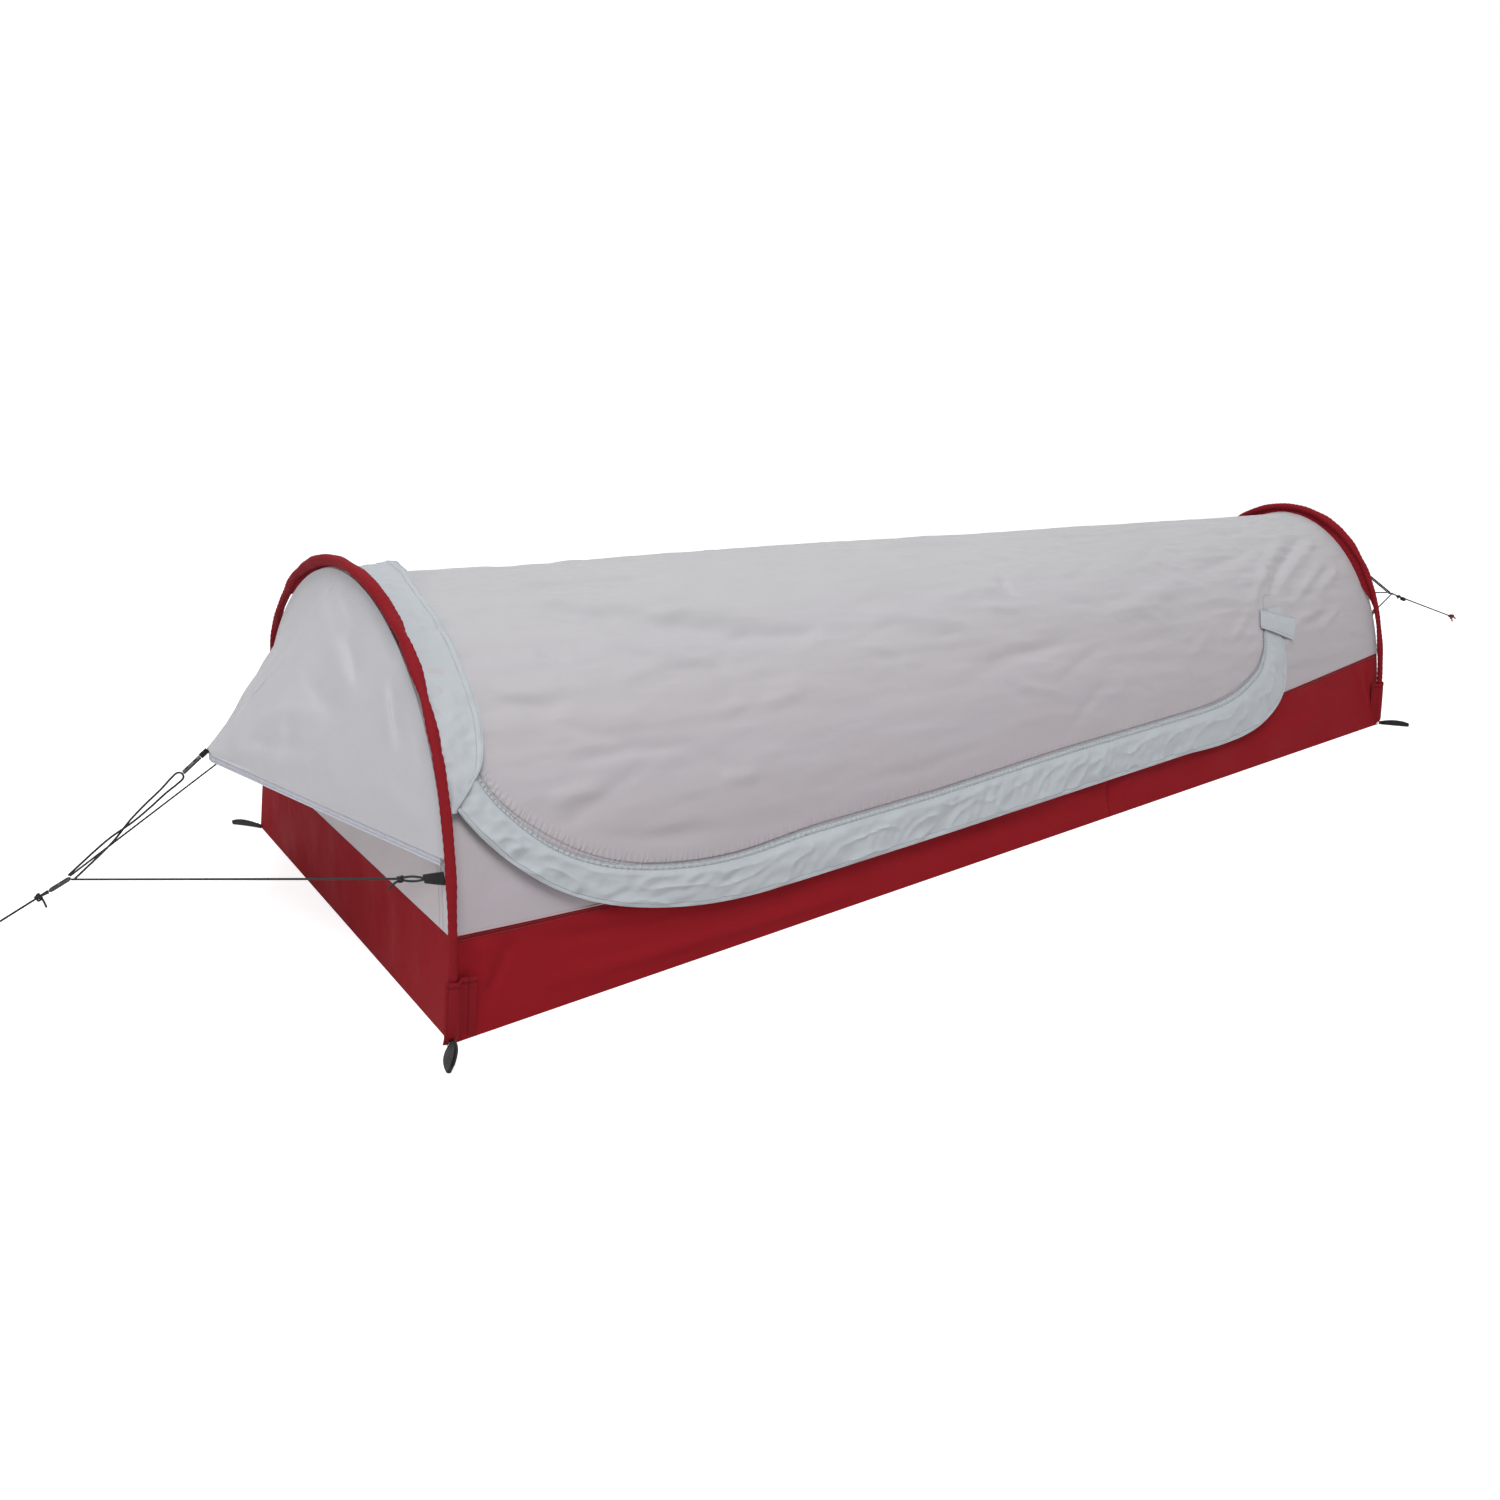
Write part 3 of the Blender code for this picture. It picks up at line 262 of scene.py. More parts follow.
FOOT_LINE_THICKER = 1.25
END_KNOT_THICKER = 1.15
KNOT_ACROSS = 0.8
KNOT_DEEP = 1.5

# Stitches: length of one, its thread, and how far it dives into the cloth and stands on it
STITCH_PITCH = 0.0036
THREAD_RADIUS = 0.0003
STITCH_DIVE = 0.00045
STITCH_STAND = 0.00022

# Two places along the ridge: at the tab and nearer the head
BLEND_START = 1.81
BLEND_END = 0.60

# Pitch of the cloth's fine weave
CLOTH_WEAVE = 0.0008

# Points along a fold's line
FOLD_STOPS = 25

# Small folds of slack cloth: reach, slant, height and half width, from the least to the most
CRUMPLE_REACH = (0.03, 0.10)
CRUMPLE_SLANT = (-0.9, 0.9)
CRUMPLE_HEIGHT = (0.0007, 0.0018)
CRUMPLE_WIDTH = (0.0080, 0.0130)
CRUMPLE_BEND = (-0.01, 0.01)

# Folds of the near side: height, half width, and a line of (distance from head, share of the arch's angle)
NEAR_FOLDS = (
    (-0.0028, 0.0095, ((0.173, 0.806), (0.300, 0.800), (0.507, 0.789))),
    (0.0029, 0.0096, ((0.165, 0.835), (0.320, 0.826), (0.560, 0.812))),
    (-0.0049, 0.0164, ((0.139, 0.764), (0.219, 0.709), (0.340, 0.640), (0.494, 0.561), (0.786, 0.491))),
    (0.0049, 0.0164, ((0.150, 0.800), (0.260, 0.730), (0.400, 0.655), (0.600, 0.585))),
    (0.0041, 0.0135, ((0.249, 0.624), (0.340, 0.550), (0.462, 0.466))),
    (-0.0028, 0.0095, ((0.100, 0.495), (0.160, 0.455), (0.222, 0.423))),
    (-0.0028, 0.0095, ((0.201, 0.570), (0.249, 0.540))),
    (-0.0028, 0.0095, ((0.170, 0.328), (0.284, 0.331), (0.400, 0.314))),
    (0.0028, 0.0095, ((0.144, 0.262), (0.190, 0.272), (0.241, 0.269))),
    (0.0028, 0.0095, ((0.397, 0.245), (0.469, 0.236))),
    (-0.0028, 0.0095, ((0.171, 0.200), (0.290, 0.170), (0.397, 0.152))),
    (0.0041, 0.0135, ((2.090, 0.760), (1.991, 0.646), (1.900, 0.560), (1.800, 0.440), (1.707, 0.352))),
    (0.0037, 0.0125, ((2.180, 0.720), (2.112, 0.626), (2.020, 0.560), (1.920, 0.480), (1.833, 0.412))),
    (0.0032, 0.0105, ((2.152, 0.554), (2.060, 0.490), (1.980, 0.430), (1.900, 0.376))),
    (-0.0035, 0.0116, ((2.140, 0.740), (2.060, 0.640), (1.950, 0.540), (1.860, 0.440), (1.780, 0.385))),
    (-0.0035, 0.0116, ((1.604, 0.560), (1.760, 0.600), (1.935, 0.659))),
    (0.0035, 0.0116, ((2.020, 0.400), (2.120, 0.460), (2.190, 0.520))),
    (-0.0035, 0.0116, ((1.100, 0.652), (1.092, 0.600), (1.088, 0.550))),
    (0.0050, 0.0173, ((0.721, 0.582), (0.850, 0.530), (0.976, 0.478))),
    (0.0028, 0.0095, ((1.917, 0.319), (1.990, 0.345), (2.065, 0.365))),
    (-0.0012, 0.0095, ((1.930, 0.290), (2.010, 0.320), (2.080, 0.345))),
    (0.0028, 0.0095, ((2.000, 0.285), (2.080, 0.320), (2.130, 0.350))),
    (0.0045, 0.0192, ((1.250, 0.430), (1.420, 0.470), (1.580, 0.540))),
    (-0.0045, 0.0153, ((0.880, 0.350), (1.050, 0.380), (1.220, 0.400))),
    (0.0041, 0.0135, ((0.620, 0.880), (0.900, 0.870), (1.150, 0.885))),
    (-0.0035, 0.0116, ((1.300, 0.860), (1.550, 0.850), (1.800, 0.870))),
)

# Folds of the far side, in the same terms
FAR_FOLDS = (
    (0.0046, 0.0153, ((0.090, 0.800), (0.300, 0.640), (0.620, 0.520))),
    (-0.0043, 0.0144, ((0.100, 0.740), (0.280, 0.590), (0.520, 0.470))),
    (0.0035, 0.0116, ((0.080, 0.560), (0.240, 0.450), (0.420, 0.380))),
    (-0.0029, 0.0096, ((0.090, 0.400), (0.220, 0.340), (0.360, 0.300))),
    (0.0041, 0.0135, ((2.120, 0.640), (1.950, 0.520), (1.760, 0.400))),
    (-0.0035, 0.0116, ((2.150, 0.560), (1.990, 0.450), (1.840, 0.370))),
    (0.0029, 0.0096, ((2.170, 0.450), (2.060, 0.380), (1.960, 0.340))),
    (0.0052, 0.0173, ((1.000, 0.300), (1.250, 0.420), (1.550, 0.500))),
    (-0.0041, 0.0135, ((0.700, 0.880), (1.100, 0.860), (1.500, 0.880))),
)

# Folds of the long red walls: height, half width, and a line of (distance from head, share of the height)
WALL_FOLDS = (
    (-0.0034, 0.0080, ((0.022, 0.98), (0.030, 0.60), (0.028, 0.20))),
    (0.0034, 0.0080, ((0.040, 0.98), (0.050, 0.65), (0.046, 0.25))),
    (-0.0034, 0.0080, ((0.066, 0.96), (0.078, 0.72), (0.062, 0.40), (0.040, 0.15))),
    (0.0037, 0.0088, ((0.052, 0.22), (0.180, 0.20), (0.420, 0.15), (0.700, 0.12))),
    (-0.0031, 0.0099, ((0.110, 0.75), (0.200, 0.60), (0.330, 0.55))),
    (0.0027, 0.0133, ((0.150, 0.85), (0.300, 0.78), (0.520, 0.72))),
    (-0.0024, 0.0177, ((0.600, 0.45), (0.850, 0.50), (1.150, 0.42))),
    (0.0027, 0.0155, ((0.900, 0.75), (1.080, 0.62), (1.200, 0.40))),
    (-0.0034, 0.0080, ((1.228, 0.04), (1.232, 0.30), (1.225, 0.62))),
    (0.0027, 0.0088, ((1.250, 0.05), (1.262, 0.30), (1.300, 0.60))),
    (-0.0027, 0.0165, ((1.420, 0.72), (1.650, 0.55), (1.880, 0.50))),
    (0.0031, 0.0155, ((1.700, 0.25), (1.900, 0.32), (2.080, 0.30))),
    (-0.0037, 0.0111, ((1.980, 0.85), (2.080, 0.66), (2.180, 0.55))),
    (0.0037, 0.0099, ((2.170, 0.96), (2.200, 0.60), (2.215, 0.30))),
    (-0.0034, 0.0080, ((2.235, 0.97), (2.232, 0.60), (2.240, 0.25))),
)

# Folds of the hood: height, half width, and a line of (share round the hoop, share from hoop to tip)
HOOD_FOLDS = (
    (0.0055, 0.0130, ((0.400, 0.230), (0.297, 0.263), (0.200, 0.270))),
    (-0.0047, 0.0110, ((0.380, 0.135), (0.297, 0.163), (0.238, 0.215))),
    (-0.0042, 0.0125, ((0.372, 0.417), (0.255, 0.385), (0.190, 0.315))),
    (-0.0052, 0.0125, ((0.235, 0.050), (0.165, 0.092), (0.100, 0.110))),
    (0.0044, 0.0120, ((0.238, 0.107), (0.173, 0.140), (0.100, 0.155))),
    (-0.0044, 0.0105, ((0.195, 0.016), (0.138, 0.020), (0.075, 0.022))),
    (-0.0031, 0.0090, ((0.350, 0.018), (0.278, 0.024), (0.215, 0.022))),
    (0.0031, 0.0125, ((0.560, 0.103), (0.438, 0.195), (0.352, 0.245))),
    (-0.0031, 0.0100, ((0.473, 0.035), (0.408, 0.068), (0.330, 0.095))),
    (-0.0023, 0.0120, ((0.255, 0.868), (0.150, 0.670), (0.120, 0.445))),
    (0.0023, 0.0120, ((0.315, 0.785), (0.258, 0.573), (0.195, 0.390))),
    (0.0029, 0.0140, ((0.088, 0.278), (0.045, 0.163), (0.020, 0.048))),
    (-0.0023, 0.0120, ((0.275, 0.562), (0.193, 0.575), (0.122, 0.588))),
    (0.0047, 0.0130, ((0.570, 0.080), (0.590, 0.300), (0.610, 0.560), (0.620, 0.850))),
    (0.0036, 0.0130, ((0.640, 0.080), (0.680, 0.300), (0.740, 0.520))),
    (-0.0031, 0.0130, ((0.800, 0.060), (0.850, 0.160), (0.900, 0.260))),
)


# Shared arithmetic

def mix(a, b, share):
    """The value that lies a given share of the way from a to b."""
    return a + (b - a) * share


def eased(low, high, value):
    """0 below low, 1 above high and a smooth step between."""
    share = np.clip((value - low) / (high - low), 0.0, 1.0)
    return share * share * (3 - 2 * share)


def within(value, start, end, last=1.0):
    """0 at 0 and at last and 1 between them, with a smooth step of its own length at either end."""
    return eased(0, start, value) * eased(0, end, last - value)


def place(from_head, y=0.0, z=0.0):
    """A point in the shelter's frame, from its distance to the head end."""
    return np.array((from_head - LENGTH / 2, y, z))


def unit(vector):
    """A vector, or a row of vectors, at length 1."""
    return vector / np.linalg.norm(vector, axis=-1, keepdims=True)


def spread(columns, rows):
    """Shares across and up a grid, one pair for each of its points."""
    return np.meshgrid(np.linspace(0, 1, columns + 1), np.linspace(0, 1, rows + 1))


def grain(spots, scale, seed):
    """Smooth noise at each of an array of points, from about -1 to 1."""
    shift = Vector((seed * 7.31, seed * 3.17, seed * 5.53))
    flat = spots.reshape(-1, 3)
    size = np.broadcast_to(np.asarray(scale, dtype=float), 3)
    values = [noise.noise(Vector(spot) + shift) for spot in flat * size]
    return np.array(values).reshape(spots.shape[:-1])


def along_table(table, column, at):
    """A column of a table at places on its first one, rounded off between its rows."""
    rows = np.array(table)
    fine = np.linspace(rows[0, 0], rows[-1, 0], 201)
    values = np.interp(fine, rows[:, 0], rows[:, column])
    weights = np.exp(-np.linspace(-2, 2, 11) ** 2)
    wider = np.concatenate((np.full(5, values[0]), values, np.full(5, values[-1])))
    return np.interp(at, fine, np.convolve(wider, weights / weights.sum(), "valid"))


def steps_along(route):
    """The running length along a row of points."""
    pieces = np.linalg.norm(np.diff(route, axis=0), axis=1)
    return np.concatenate(((0.0,), np.cumsum(pieces)))


def read_off(rows, run, stops):
    """Rows of values at stops of a running length, read between the rows given along it."""
    return np.stack([np.interp(stops, run, rows[:, k]) for k in range(rows.shape[1])], 1)


def respaced(route, count):
    """The same route with its points at equal distances."""
    run = steps_along(route)
    return read_off(route, run, np.linspace(0, run[-1], count))


# The body's surface

def arch(half_width, height, across, up, angle):
    """Points (y, z) of an arch. The angle runs from 0 at the near floor edge to pi at the far one."""
    side = np.sign(np.cos(angle)) * np.abs(np.cos(angle)) ** (2 / across)
    return -half_width * side, height * np.abs(np.sin(angle)) ** (2 / up)


def floor_half_width(along):
    """Half the floor's width, a share of the way from head to foot."""
    return mix(HEAD_FLOOR_WIDTH, FOOT_FLOOR_WIDTH, along) / 2


def ridge_height(along):
    """Height of the canopy's ridge, which climbs a little to each sleeve."""
    from_hoop = np.minimum(along, 1 - along) * LENGTH
    return RIDGE_HEIGHT + RIDGE_RISE * np.exp(-from_hoop / RIDGE_RISE_REACH)


def wall_height(along):
    """Height of the red walls, a share of the way from head to foot."""
    x = np.asarray(along) * LENGTH
    dip = np.clip(1 - x / WALL_DIP_ENDS, 0, None)
    rise = np.clip((x - WALL_RISE_STARTS) / (LENGTH - WALL_RISE_STARTS), 0, None)
    return WALL_MIDDLE + (WALL_HEAD - WALL_MIDDLE) * dip ** 2 + (WALL_FOOT - WALL_MIDDLE) * rise ** 1.15


def end_plane(along, z):
    """The x of a point on the body: its ends lean inwards with the hoops."""
    reach = LENGTH / 2 - HOOP_LEAN * z
    return mix(-reach, reach, along)


def share_along(x, z):
    """How far along the body a point is, between its leaning ends."""
    reach = LENGTH / 2 - HOOP_LEAN * z
    return np.clip((x + reach) / (2 * reach), 0.0, 1.0)


def angle_at_height(along, z):
    """The near side's arch angle at a height."""
    return np.arcsin(np.minimum(z / ridge_height(along), 1.0) ** (BODY_UP / 2))


def lifted(x, y, z, along, proud):
    """Points of the skin moved off it, along the skin's normal in its cross-section."""
    half, height = floor_half_width(along), ridge_height(along)
    slope_y = BODY_ACROSS * (np.abs(y) / half) ** (BODY_ACROSS - 1) / half
    slope_z = BODY_UP * (z / height) ** (BODY_UP - 1) / height
    size = np.hypot(slope_y, slope_z)
    moved_y = y + np.sign(y) * proud * slope_y / size
    return np.stack(np.broadcast_arrays(x, moved_y, z + proud * slope_z / size), -1)


def body_skin(along, angle, proud=0.0):
    """Points of the body at a share along it and an arch angle, lifted off its skin."""
    y, z = arch(floor_half_width(along), ridge_height(along), BODY_ACROSS, BODY_UP, angle)
    return lifted(end_plane(along, z), y, z, along, proud)


def skin_at(from_head, angle, proud=0.0):
    """Points of the skin at a distance from the head and an arch angle, lifted off it."""
    x = from_head - LENGTH / 2
    rough_z = RIDGE_HEIGHT * np.abs(np.sin(angle)) ** (2 / BODY_UP)
    along = share_along(x, rough_z)
    y, z = arch(floor_half_width(along), ridge_height(along), BODY_ACROSS, BODY_UP, angle)
    return lifted(x, y, z, along, proud)


def near_side(from_head, z, proud=0.0):
    """Points of the near side at a distance from the head and a height, lifted off the skin."""
    x = from_head - LENGTH / 2
    along = share_along(x, z)
    share = np.minimum(z / ridge_height(along), 1.0) ** BODY_UP
    y = -floor_half_width(along) * (1 - share) ** (1 / BODY_ACROSS)
    return lifted(x, y, z, along, proud)


def station(u):
    """Spacing of the body's cross-sections, a little closer together near the hoops."""
    return 0.5 - 0.5 * np.cos(pi * u) * (0.78 + 0.22 * np.abs(np.cos(pi * u)))


def far_mirrored(spots):
    """The same points on the other side."""
    return spots * np.array((1.0, -1.0, 1.0))


def on_side(word, spots):
    """Points of the near side as they are, or mirrored for the far one."""
    return spots if word == "near" else far_mirrored(spots)


# Folds

def fold_track(line, count, surface):
    """Points on a surface along a folded line of its own coordinates."""
    route = respaced(np.array(line), count)
    return surface(route[:, 0], route[:, 1])


def fold_rise(spots, folds, surface):
    """How far folds lift the points of a surface."""
    flat = spots.reshape(-1, 3)
    rise = np.zeros(len(flat))
    for height, width, line in folds:
        track = fold_track(line, FOLD_STOPS, surface)
        low, high = track.min(0) - 3 * width, track.max(0) + 3 * width
        close = np.flatnonzero(((flat > low) & (flat < high)).all(1))
        if not len(close):
            continue
        beside = flat[close]
        distance = np.full(len(close), np.inf)
        share = np.zeros(len(close))
        for index, way in enumerate(np.diff(track, axis=0)):
            off = beside - track[index]
            on = np.clip(off @ way / (way @ way), 0, 1)
            away = np.linalg.norm(off - on[:, None] * way, axis=1)
            better = away < distance
            distance[better] = away[better]
            share[better] = (index + on[better]) / (FOLD_STOPS - 1)
        fade = eased(0.0, 0.35, share) * eased(0.0, 0.35, 1 - share)
        rise[close] += height * np.exp(-(distance / width) ** 2) * fade
    return rise.reshape(spots.shape[:-1])


def crumples(seed, count, s_range, q_range):
    """Seeded small folds that run along the shelter at a slant, as slack cloth shows."""
    chance = np.random.default_rng(seed)
    found = []
    for _ in range(count):
        s, q = chance.uniform(*s_range), chance.uniform(*q_range)
        reach, slant = chance.uniform(*CRUMPLE_REACH), chance.uniform(*CRUMPLE_SLANT)
        height = chance.choice((-1, 1)) * chance.uniform(*CRUMPLE_HEIGHT)
        middle = (s, q + chance.uniform(*CRUMPLE_BEND))
        line = ((s - reach, q - reach * slant), middle, (s + reach, q + reach * slant))
        found.append((height, chance.uniform(*CRUMPLE_WIDTH), line))
    return tuple(found)


# The door's edge, which the zip and the storm flap follow

def door_head_edge(z):
    """Distance from the head end to the door's upright edge, which curves in at the bottom."""
    reach, depth = DOOR_HEAD_CURVE
    return DOOR_HEAD - reach * (np.clip(DOOR_HEAD_CURVE_TOP - z, 0, None) / depth) ** 2


def zip_spot(u, out, start_angle):
    """The zip's route from the head corner along the wall and up to the tab, at shares along it."""
    first, second, third = ZIP_BREAKS
    x0, z0 = DOOR_HEAD_CORNER
    wide, tall = DOOR_HEAD_RADII
    angle = mix(start_angle, pi / 2, np.clip(u / first, 0, 1))
    x = x0 - (wide + out) * np.cos(angle)
    z = z0 - (tall + out) * np.sin(angle)
    x1, z1 = DOOR_FOOT_CORNER
    wide1, tall1 = DOOR_FOOT_RADII
    run = np.clip((u - first) / (second - first), 0, 1)
    x = np.where(u > first, mix(x0, x1, run), x)
    z = np.where(u > first, mix(z0 - tall - out, z1 - tall1 - out, run), z)
    turn = np.clip((u - second) / (third - second), 0, 1) * pi / 2
    power = 2 / DOOR_FOOT_SQUARENESS
    x = np.where(u > second, x1 + (wide1 + out) * np.sin(turn) ** power, x)
    z = np.where(u > second, z1 - (tall1 + out) * np.abs(np.cos(turn)) ** power, z)
    rise = np.clip((u - third) / (1 - third), 0, 1)
    x = np.where(u > third, mix(x1 + wide1, DOOR_RISE_TOP[0], rise) + out, x)
    z = np.where(u > third, mix(z1, DOOR_RISE_TOP[1], rise), z)
    return x, z


def zip_route(start_angle, out, count=400):
    """Evenly spaced points (distance from head, height) of the zip's route."""
    x, z = zip_spot(np.linspace(0, 1, 1200), out, start_angle)
    return respaced(np.stack((x, z), 1), count)


def zip_coordinates(s, z):
    """Where points are beside the zip: the length along it, and the distance outwards from it."""
    route = zip_route(DOOR_START_ANGLE, 0.0)
    run = steps_along(route)
    way = unit(np.gradient(route, axis=0))
    best = np.full(s.shape, np.inf)
    length, side = np.zeros(s.shape), np.zeros(s.shape)
    for index, (x0, z0) in enumerate(route):
        away = np.hypot(s - x0, z - z0)
        better = away < best
        best[better] = away[better]
        length[better] = run[index]
        turn = way[index, 0] * (z - z0) - way[index, 1] * (s - x0)
        side[better] = -np.sign(turn)[better]
    return length, best * side


def door_outline():
    """The whole edge of the door leaf as (distance from head, height), closed above the ridge."""
    over = RIDGE_HEIGHT + DOOR_OVER_RIDGE
    top = np.linspace(over, zip_spot(np.array(0.0), 0.0, DOOR_START_ANGLE)[1], 60)
    head = np.stack((door_head_edge(top), top), 1)
    end = np.array(((DOOR_RISE_TOP[0], over),))
    return np.concatenate((head, zip_route(DOOR_START_ANGLE, 0.0, 500), end))


def inside_outline(points, outline):
    """Which 2-D points lie inside a closed outline."""
    x, z = points[..., 0], points[..., 1]
    inside = np.zeros(x.shape, dtype=bool)
    for (x0, z0), (x1, z1) in zip(outline, np.roll(outline, -1, axis=0)):
        crosses = (z0 > z) != (z1 > z)
        if crosses.any():
            inside ^= crosses & (x < (x1 - x0) * (z - z0) / (z1 - z0 + 1e-12) + x0)
    return inside


def nearest_on(points, outline):
    """The nearest place on a closed outline to each of a list of 2-D points."""
    starts, ends = outline, np.roll(outline, -1, axis=0)
    ways = ends - starts
    sizes = (ways ** 2).sum(1) + 1e-18
    share = ((points[:, None] - starts) * ways).sum(2) / sizes
    spots = starts + np.clip(share, 0, 1)[..., None] * ways
    away = ((spots - points[:, None]) ** 2).sum(2)
    return spots[np.arange(len(points)), away.argmin(1)]


def split_faces(flat, outline):
    """Faces of a grid inside an outline, and the grid's points on the border between the two parts."""
    centres = (flat[:-1, :-1] + flat[1:, :-1] + flat[:-1, 1:] + flat[1:, 1:]) / 4
    inside = inside_outline(centres, outline)
    touched_in = np.zeros(flat.shape[:2], dtype=bool)
    touched_out = np.zeros(flat.shape[:2], dtype=bool)
    for row in (slice(None, -1), slice(1, None)):
        for column in (slice(None, -1), slice(1, None)):
            touched_in[row, column] |= inside
            touched_out[row, column] |= ~inside
    return inside, touched_in & touched_out


# Building pieces

DOOR_BEND = ("door", place(BLEND_START, 0, RIDGE_HEIGHT), place(BLEND_END, 0, RIDGE_HEIGHT))


def lay_maps(mesh, table, row, column):
    """Give a grid's mesh its UV map in metres, and a seam map: metres along it and a share across it."""
    rows, columns = table.shape[0] - 1, table.shape[1] - 1
    across, upward = np.zeros(table.shape[:2]), np.zeros(table.shape[:2])
    across[:, 1:] = np.cumsum(np.linalg.norm(np.diff(table, axis=1), axis=2), axis=1)
    upward[1:] = np.cumsum(np.linalg.norm(np.diff(table, axis=0), axis=2), axis=0)
    places = np.stack((column / columns * across[rows // 2, -1], row / rows, np.zeros(len(row))), 1)
    layer = mesh.attributes.new("seam_map", "FLOAT_VECTOR", "POINT")
    layer.data.foreach_set("vector", places.astype(np.float32).ravel())
    corners = np.empty(len(mesh.loops), dtype=np.int32)
    mesh.loops.foreach_get("vertex_index", corners)
    chart = np.stack((across[row, column], upward[row, column]), 1)
    layer = mesh.uv_layers.new(name="UVMap")
    layer.uv.foreach_set("vector", chart[corners].astype(np.float32).ravel())


def laid_grid(name, table, keep=None, closed=False, inside=INSIDE):
    """A mesh grid laid on a table of points, with its maps.

    keep picks the grid's faces that stay. A closed grid is welded where it meets itself.
    """
    rows, columns = table.shape[0] - 1, table.shape[1] - 1
    shape = bmesh.new()
    bmesh.ops.create_grid(shape, x_segments=columns, y_segments=rows, size=0.5)
    mesh = bpy.data.meshes.new(name)
    shape.to_mesh(mesh)
    shape.free()
    flat = np.empty(len(mesh.vertices) * 3, dtype=np.float32)
    mesh.vertices.foreach_get("co", flat)
    column = np.rint((flat[0::3] + 0.5) * columns).astype(int)
    row = np.rint((flat[1::3] + 0.5) * rows).astype(int)
    mesh.vertices.foreach_set("co", table[row, column].ravel())
    lay_maps(mesh, table, row, column)
    shape = bmesh.new()
    shape.from_mesh(mesh)
    if keep is not None:
        shape.faces.ensure_lookup_table()
        dropped = []
        for face in shape.faces:
            index = [vertex.index for vertex in face.verts]
            if not keep[min(row[index]), min(column[index])]:
                dropped.append(face)
        bmesh.ops.delete(shape, geom=dropped, context="FACES")
    if closed:
        bmesh.ops.remove_doubles(shape, verts=shape.verts[:], dist=1e-6)
        bmesh.ops.recalc_face_normals(shape, faces=shape.faces[:])
    else:
        shape.normal_update()
        middle = Vector(inside)
        outward = sum(face.normal.dot(face.calc_center_median() - middle) for face in shape.faces)
        if outward < 0:
            bmesh.ops.reverse_faces(shape, faces=shape.faces[:])
    shape.to_mesh(mesh)
    shape.free()
    return mesh


def cut_size(mesh):
    """Width, length and area of a grid's cloth laid flat."""
    spots = np.empty(len(mesh.loops) * 2, dtype=np.float32)
    mesh.uv_layers["UVMap"].uv.foreach_get("vector", spots)
    width, length = np.ptp(spots.reshape(-1, 2), axis=0)
    return float(width), float(length), sum(face.area for face in mesh.polygons)


def add_piece(name, mesh, kind, node="", body="tent", thickness=0.0, crease=50):
    """Put a mesh in the scene in its finish, give it thickness, join it to its body and hide the CAD part
    that it stands for.

    The body is a name, or a name and two places, which are not used: such a piece only has its place baked
    in.
    """
    piece = bpy.data.objects.new(name, mesh)
    bpy.context.scene.collection.objects.link(piece)
    mesh.materials.append(finish_for(kind))
    if thickness:
        thicken = piece.modifiers.new("thickness", "SOLIDIFY")
        thicken.thickness = thickness
        thicken.offset = -1
        graph = bpy.context.evaluated_depsgraph_get()
        made = bpy.data.meshes.new_from_object(piece.evaluated_get(graph))
        piece.modifiers.clear()
        piece.data = made
        bpy.data.meshes.remove(mesh)
        made.name = name
    piece.data.shade_smooth()
    piece.data.set_sharp_from_angle(angle=radians(crease))
    if isinstance(body, tuple):
        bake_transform(piece)
    else:
        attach(piece, body)
    if node:
        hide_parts(node)
    return piece


def add_sheet(name, table, kind, node="", body="tent", keep=None, thickness=0.0, crease=50,
              inside=INSIDE):
    """A sheet of cloth laid on a table of points; its size laid flat is worked out on the way."""
    mesh = laid_grid(name, table, keep, inside=inside)
    width, length, area = cut_size(mesh)
    thickness = thickness or bpy.context.scene.shelter_cloth.thickness
    piece = add_piece(name, mesh, kind, node, body, thickness, crease)
    return piece


def side_frames(path):
    """Directions along a path and two square to it, that don't twist about it."""
    way = unit(np.gradient(path, axis=0))
    side = np.empty_like(path)
    first = np.cross(way[0], UP)
    if np.linalg.norm(first) < 0.1:
        first = np.cross(way[0], (0.0, 1.0, 0.0))
    side[0] = unit(first)
    for index in range(1, len(path)):
        side[index] = unit(side[index - 1] - way[index] * side[index - 1].dot(way[index]))
    return way, side, np.cross(way, side)


def tube_table(path, radius, sides=10, capped=True):
    """A table of points round a path. The radius is a number, or an array of a row for each side."""
    _, side, third = side_frames(path)
    turn = np.linspace(0, 2 * pi, sides + 1)[:, None]
    sizes = np.broadcast_to(radius, (sides + 1, len(path)))
    ring = side[None] * np.cos(turn)[..., None] + third[None] * np.sin(turn)[..., None]
    table = path[None] + ring * sizes[..., None]
    if capped:
        ends = [np.broadcast_to(path[k], (sides + 1, 1, 3)) for k in (0, -1)]
        table = np.concatenate((ends[0], table, ends[1]), axis=1)
    return table


def tube(name, path, radius, kind, node="", body="tent", sides=8):
    """A closed round tube along a path, as a piece."""
    mesh = laid_grid(name, tube_table(path, radius, sides), closed=True)
    return add_piece(name, mesh, kind, node, body, crease=60)


def thread(name, path, normals, kind="pale_thread", body="tent"):
    """A row of stitches: thread that shows, dives through the cloth and shows again."""
    run = steps_along(path)
    count = max(int(run[-1] / STITCH_PITCH), 2) * 4
    stops = np.linspace(0, run[-1], count)
    wave = np.tile((-STITCH_DIVE, STITCH_STAND, STITCH_STAND, -STITCH_DIVE), count // 4)
    route = read_off(path, run, stops) + read_off(normals, run, stops) * wave[:, None]
    return tube(name, route, THREAD_RADIUS, kind, body=body, sides=4)


def surface_line(surface, u, v, proud=0.0002):
    """Points and outward directions along a line of a surface that takes (u, v, proud)."""
    low = surface(u, v, proud)
    return low, (surface(u, v, proud + 0.001) - low) / 0.001


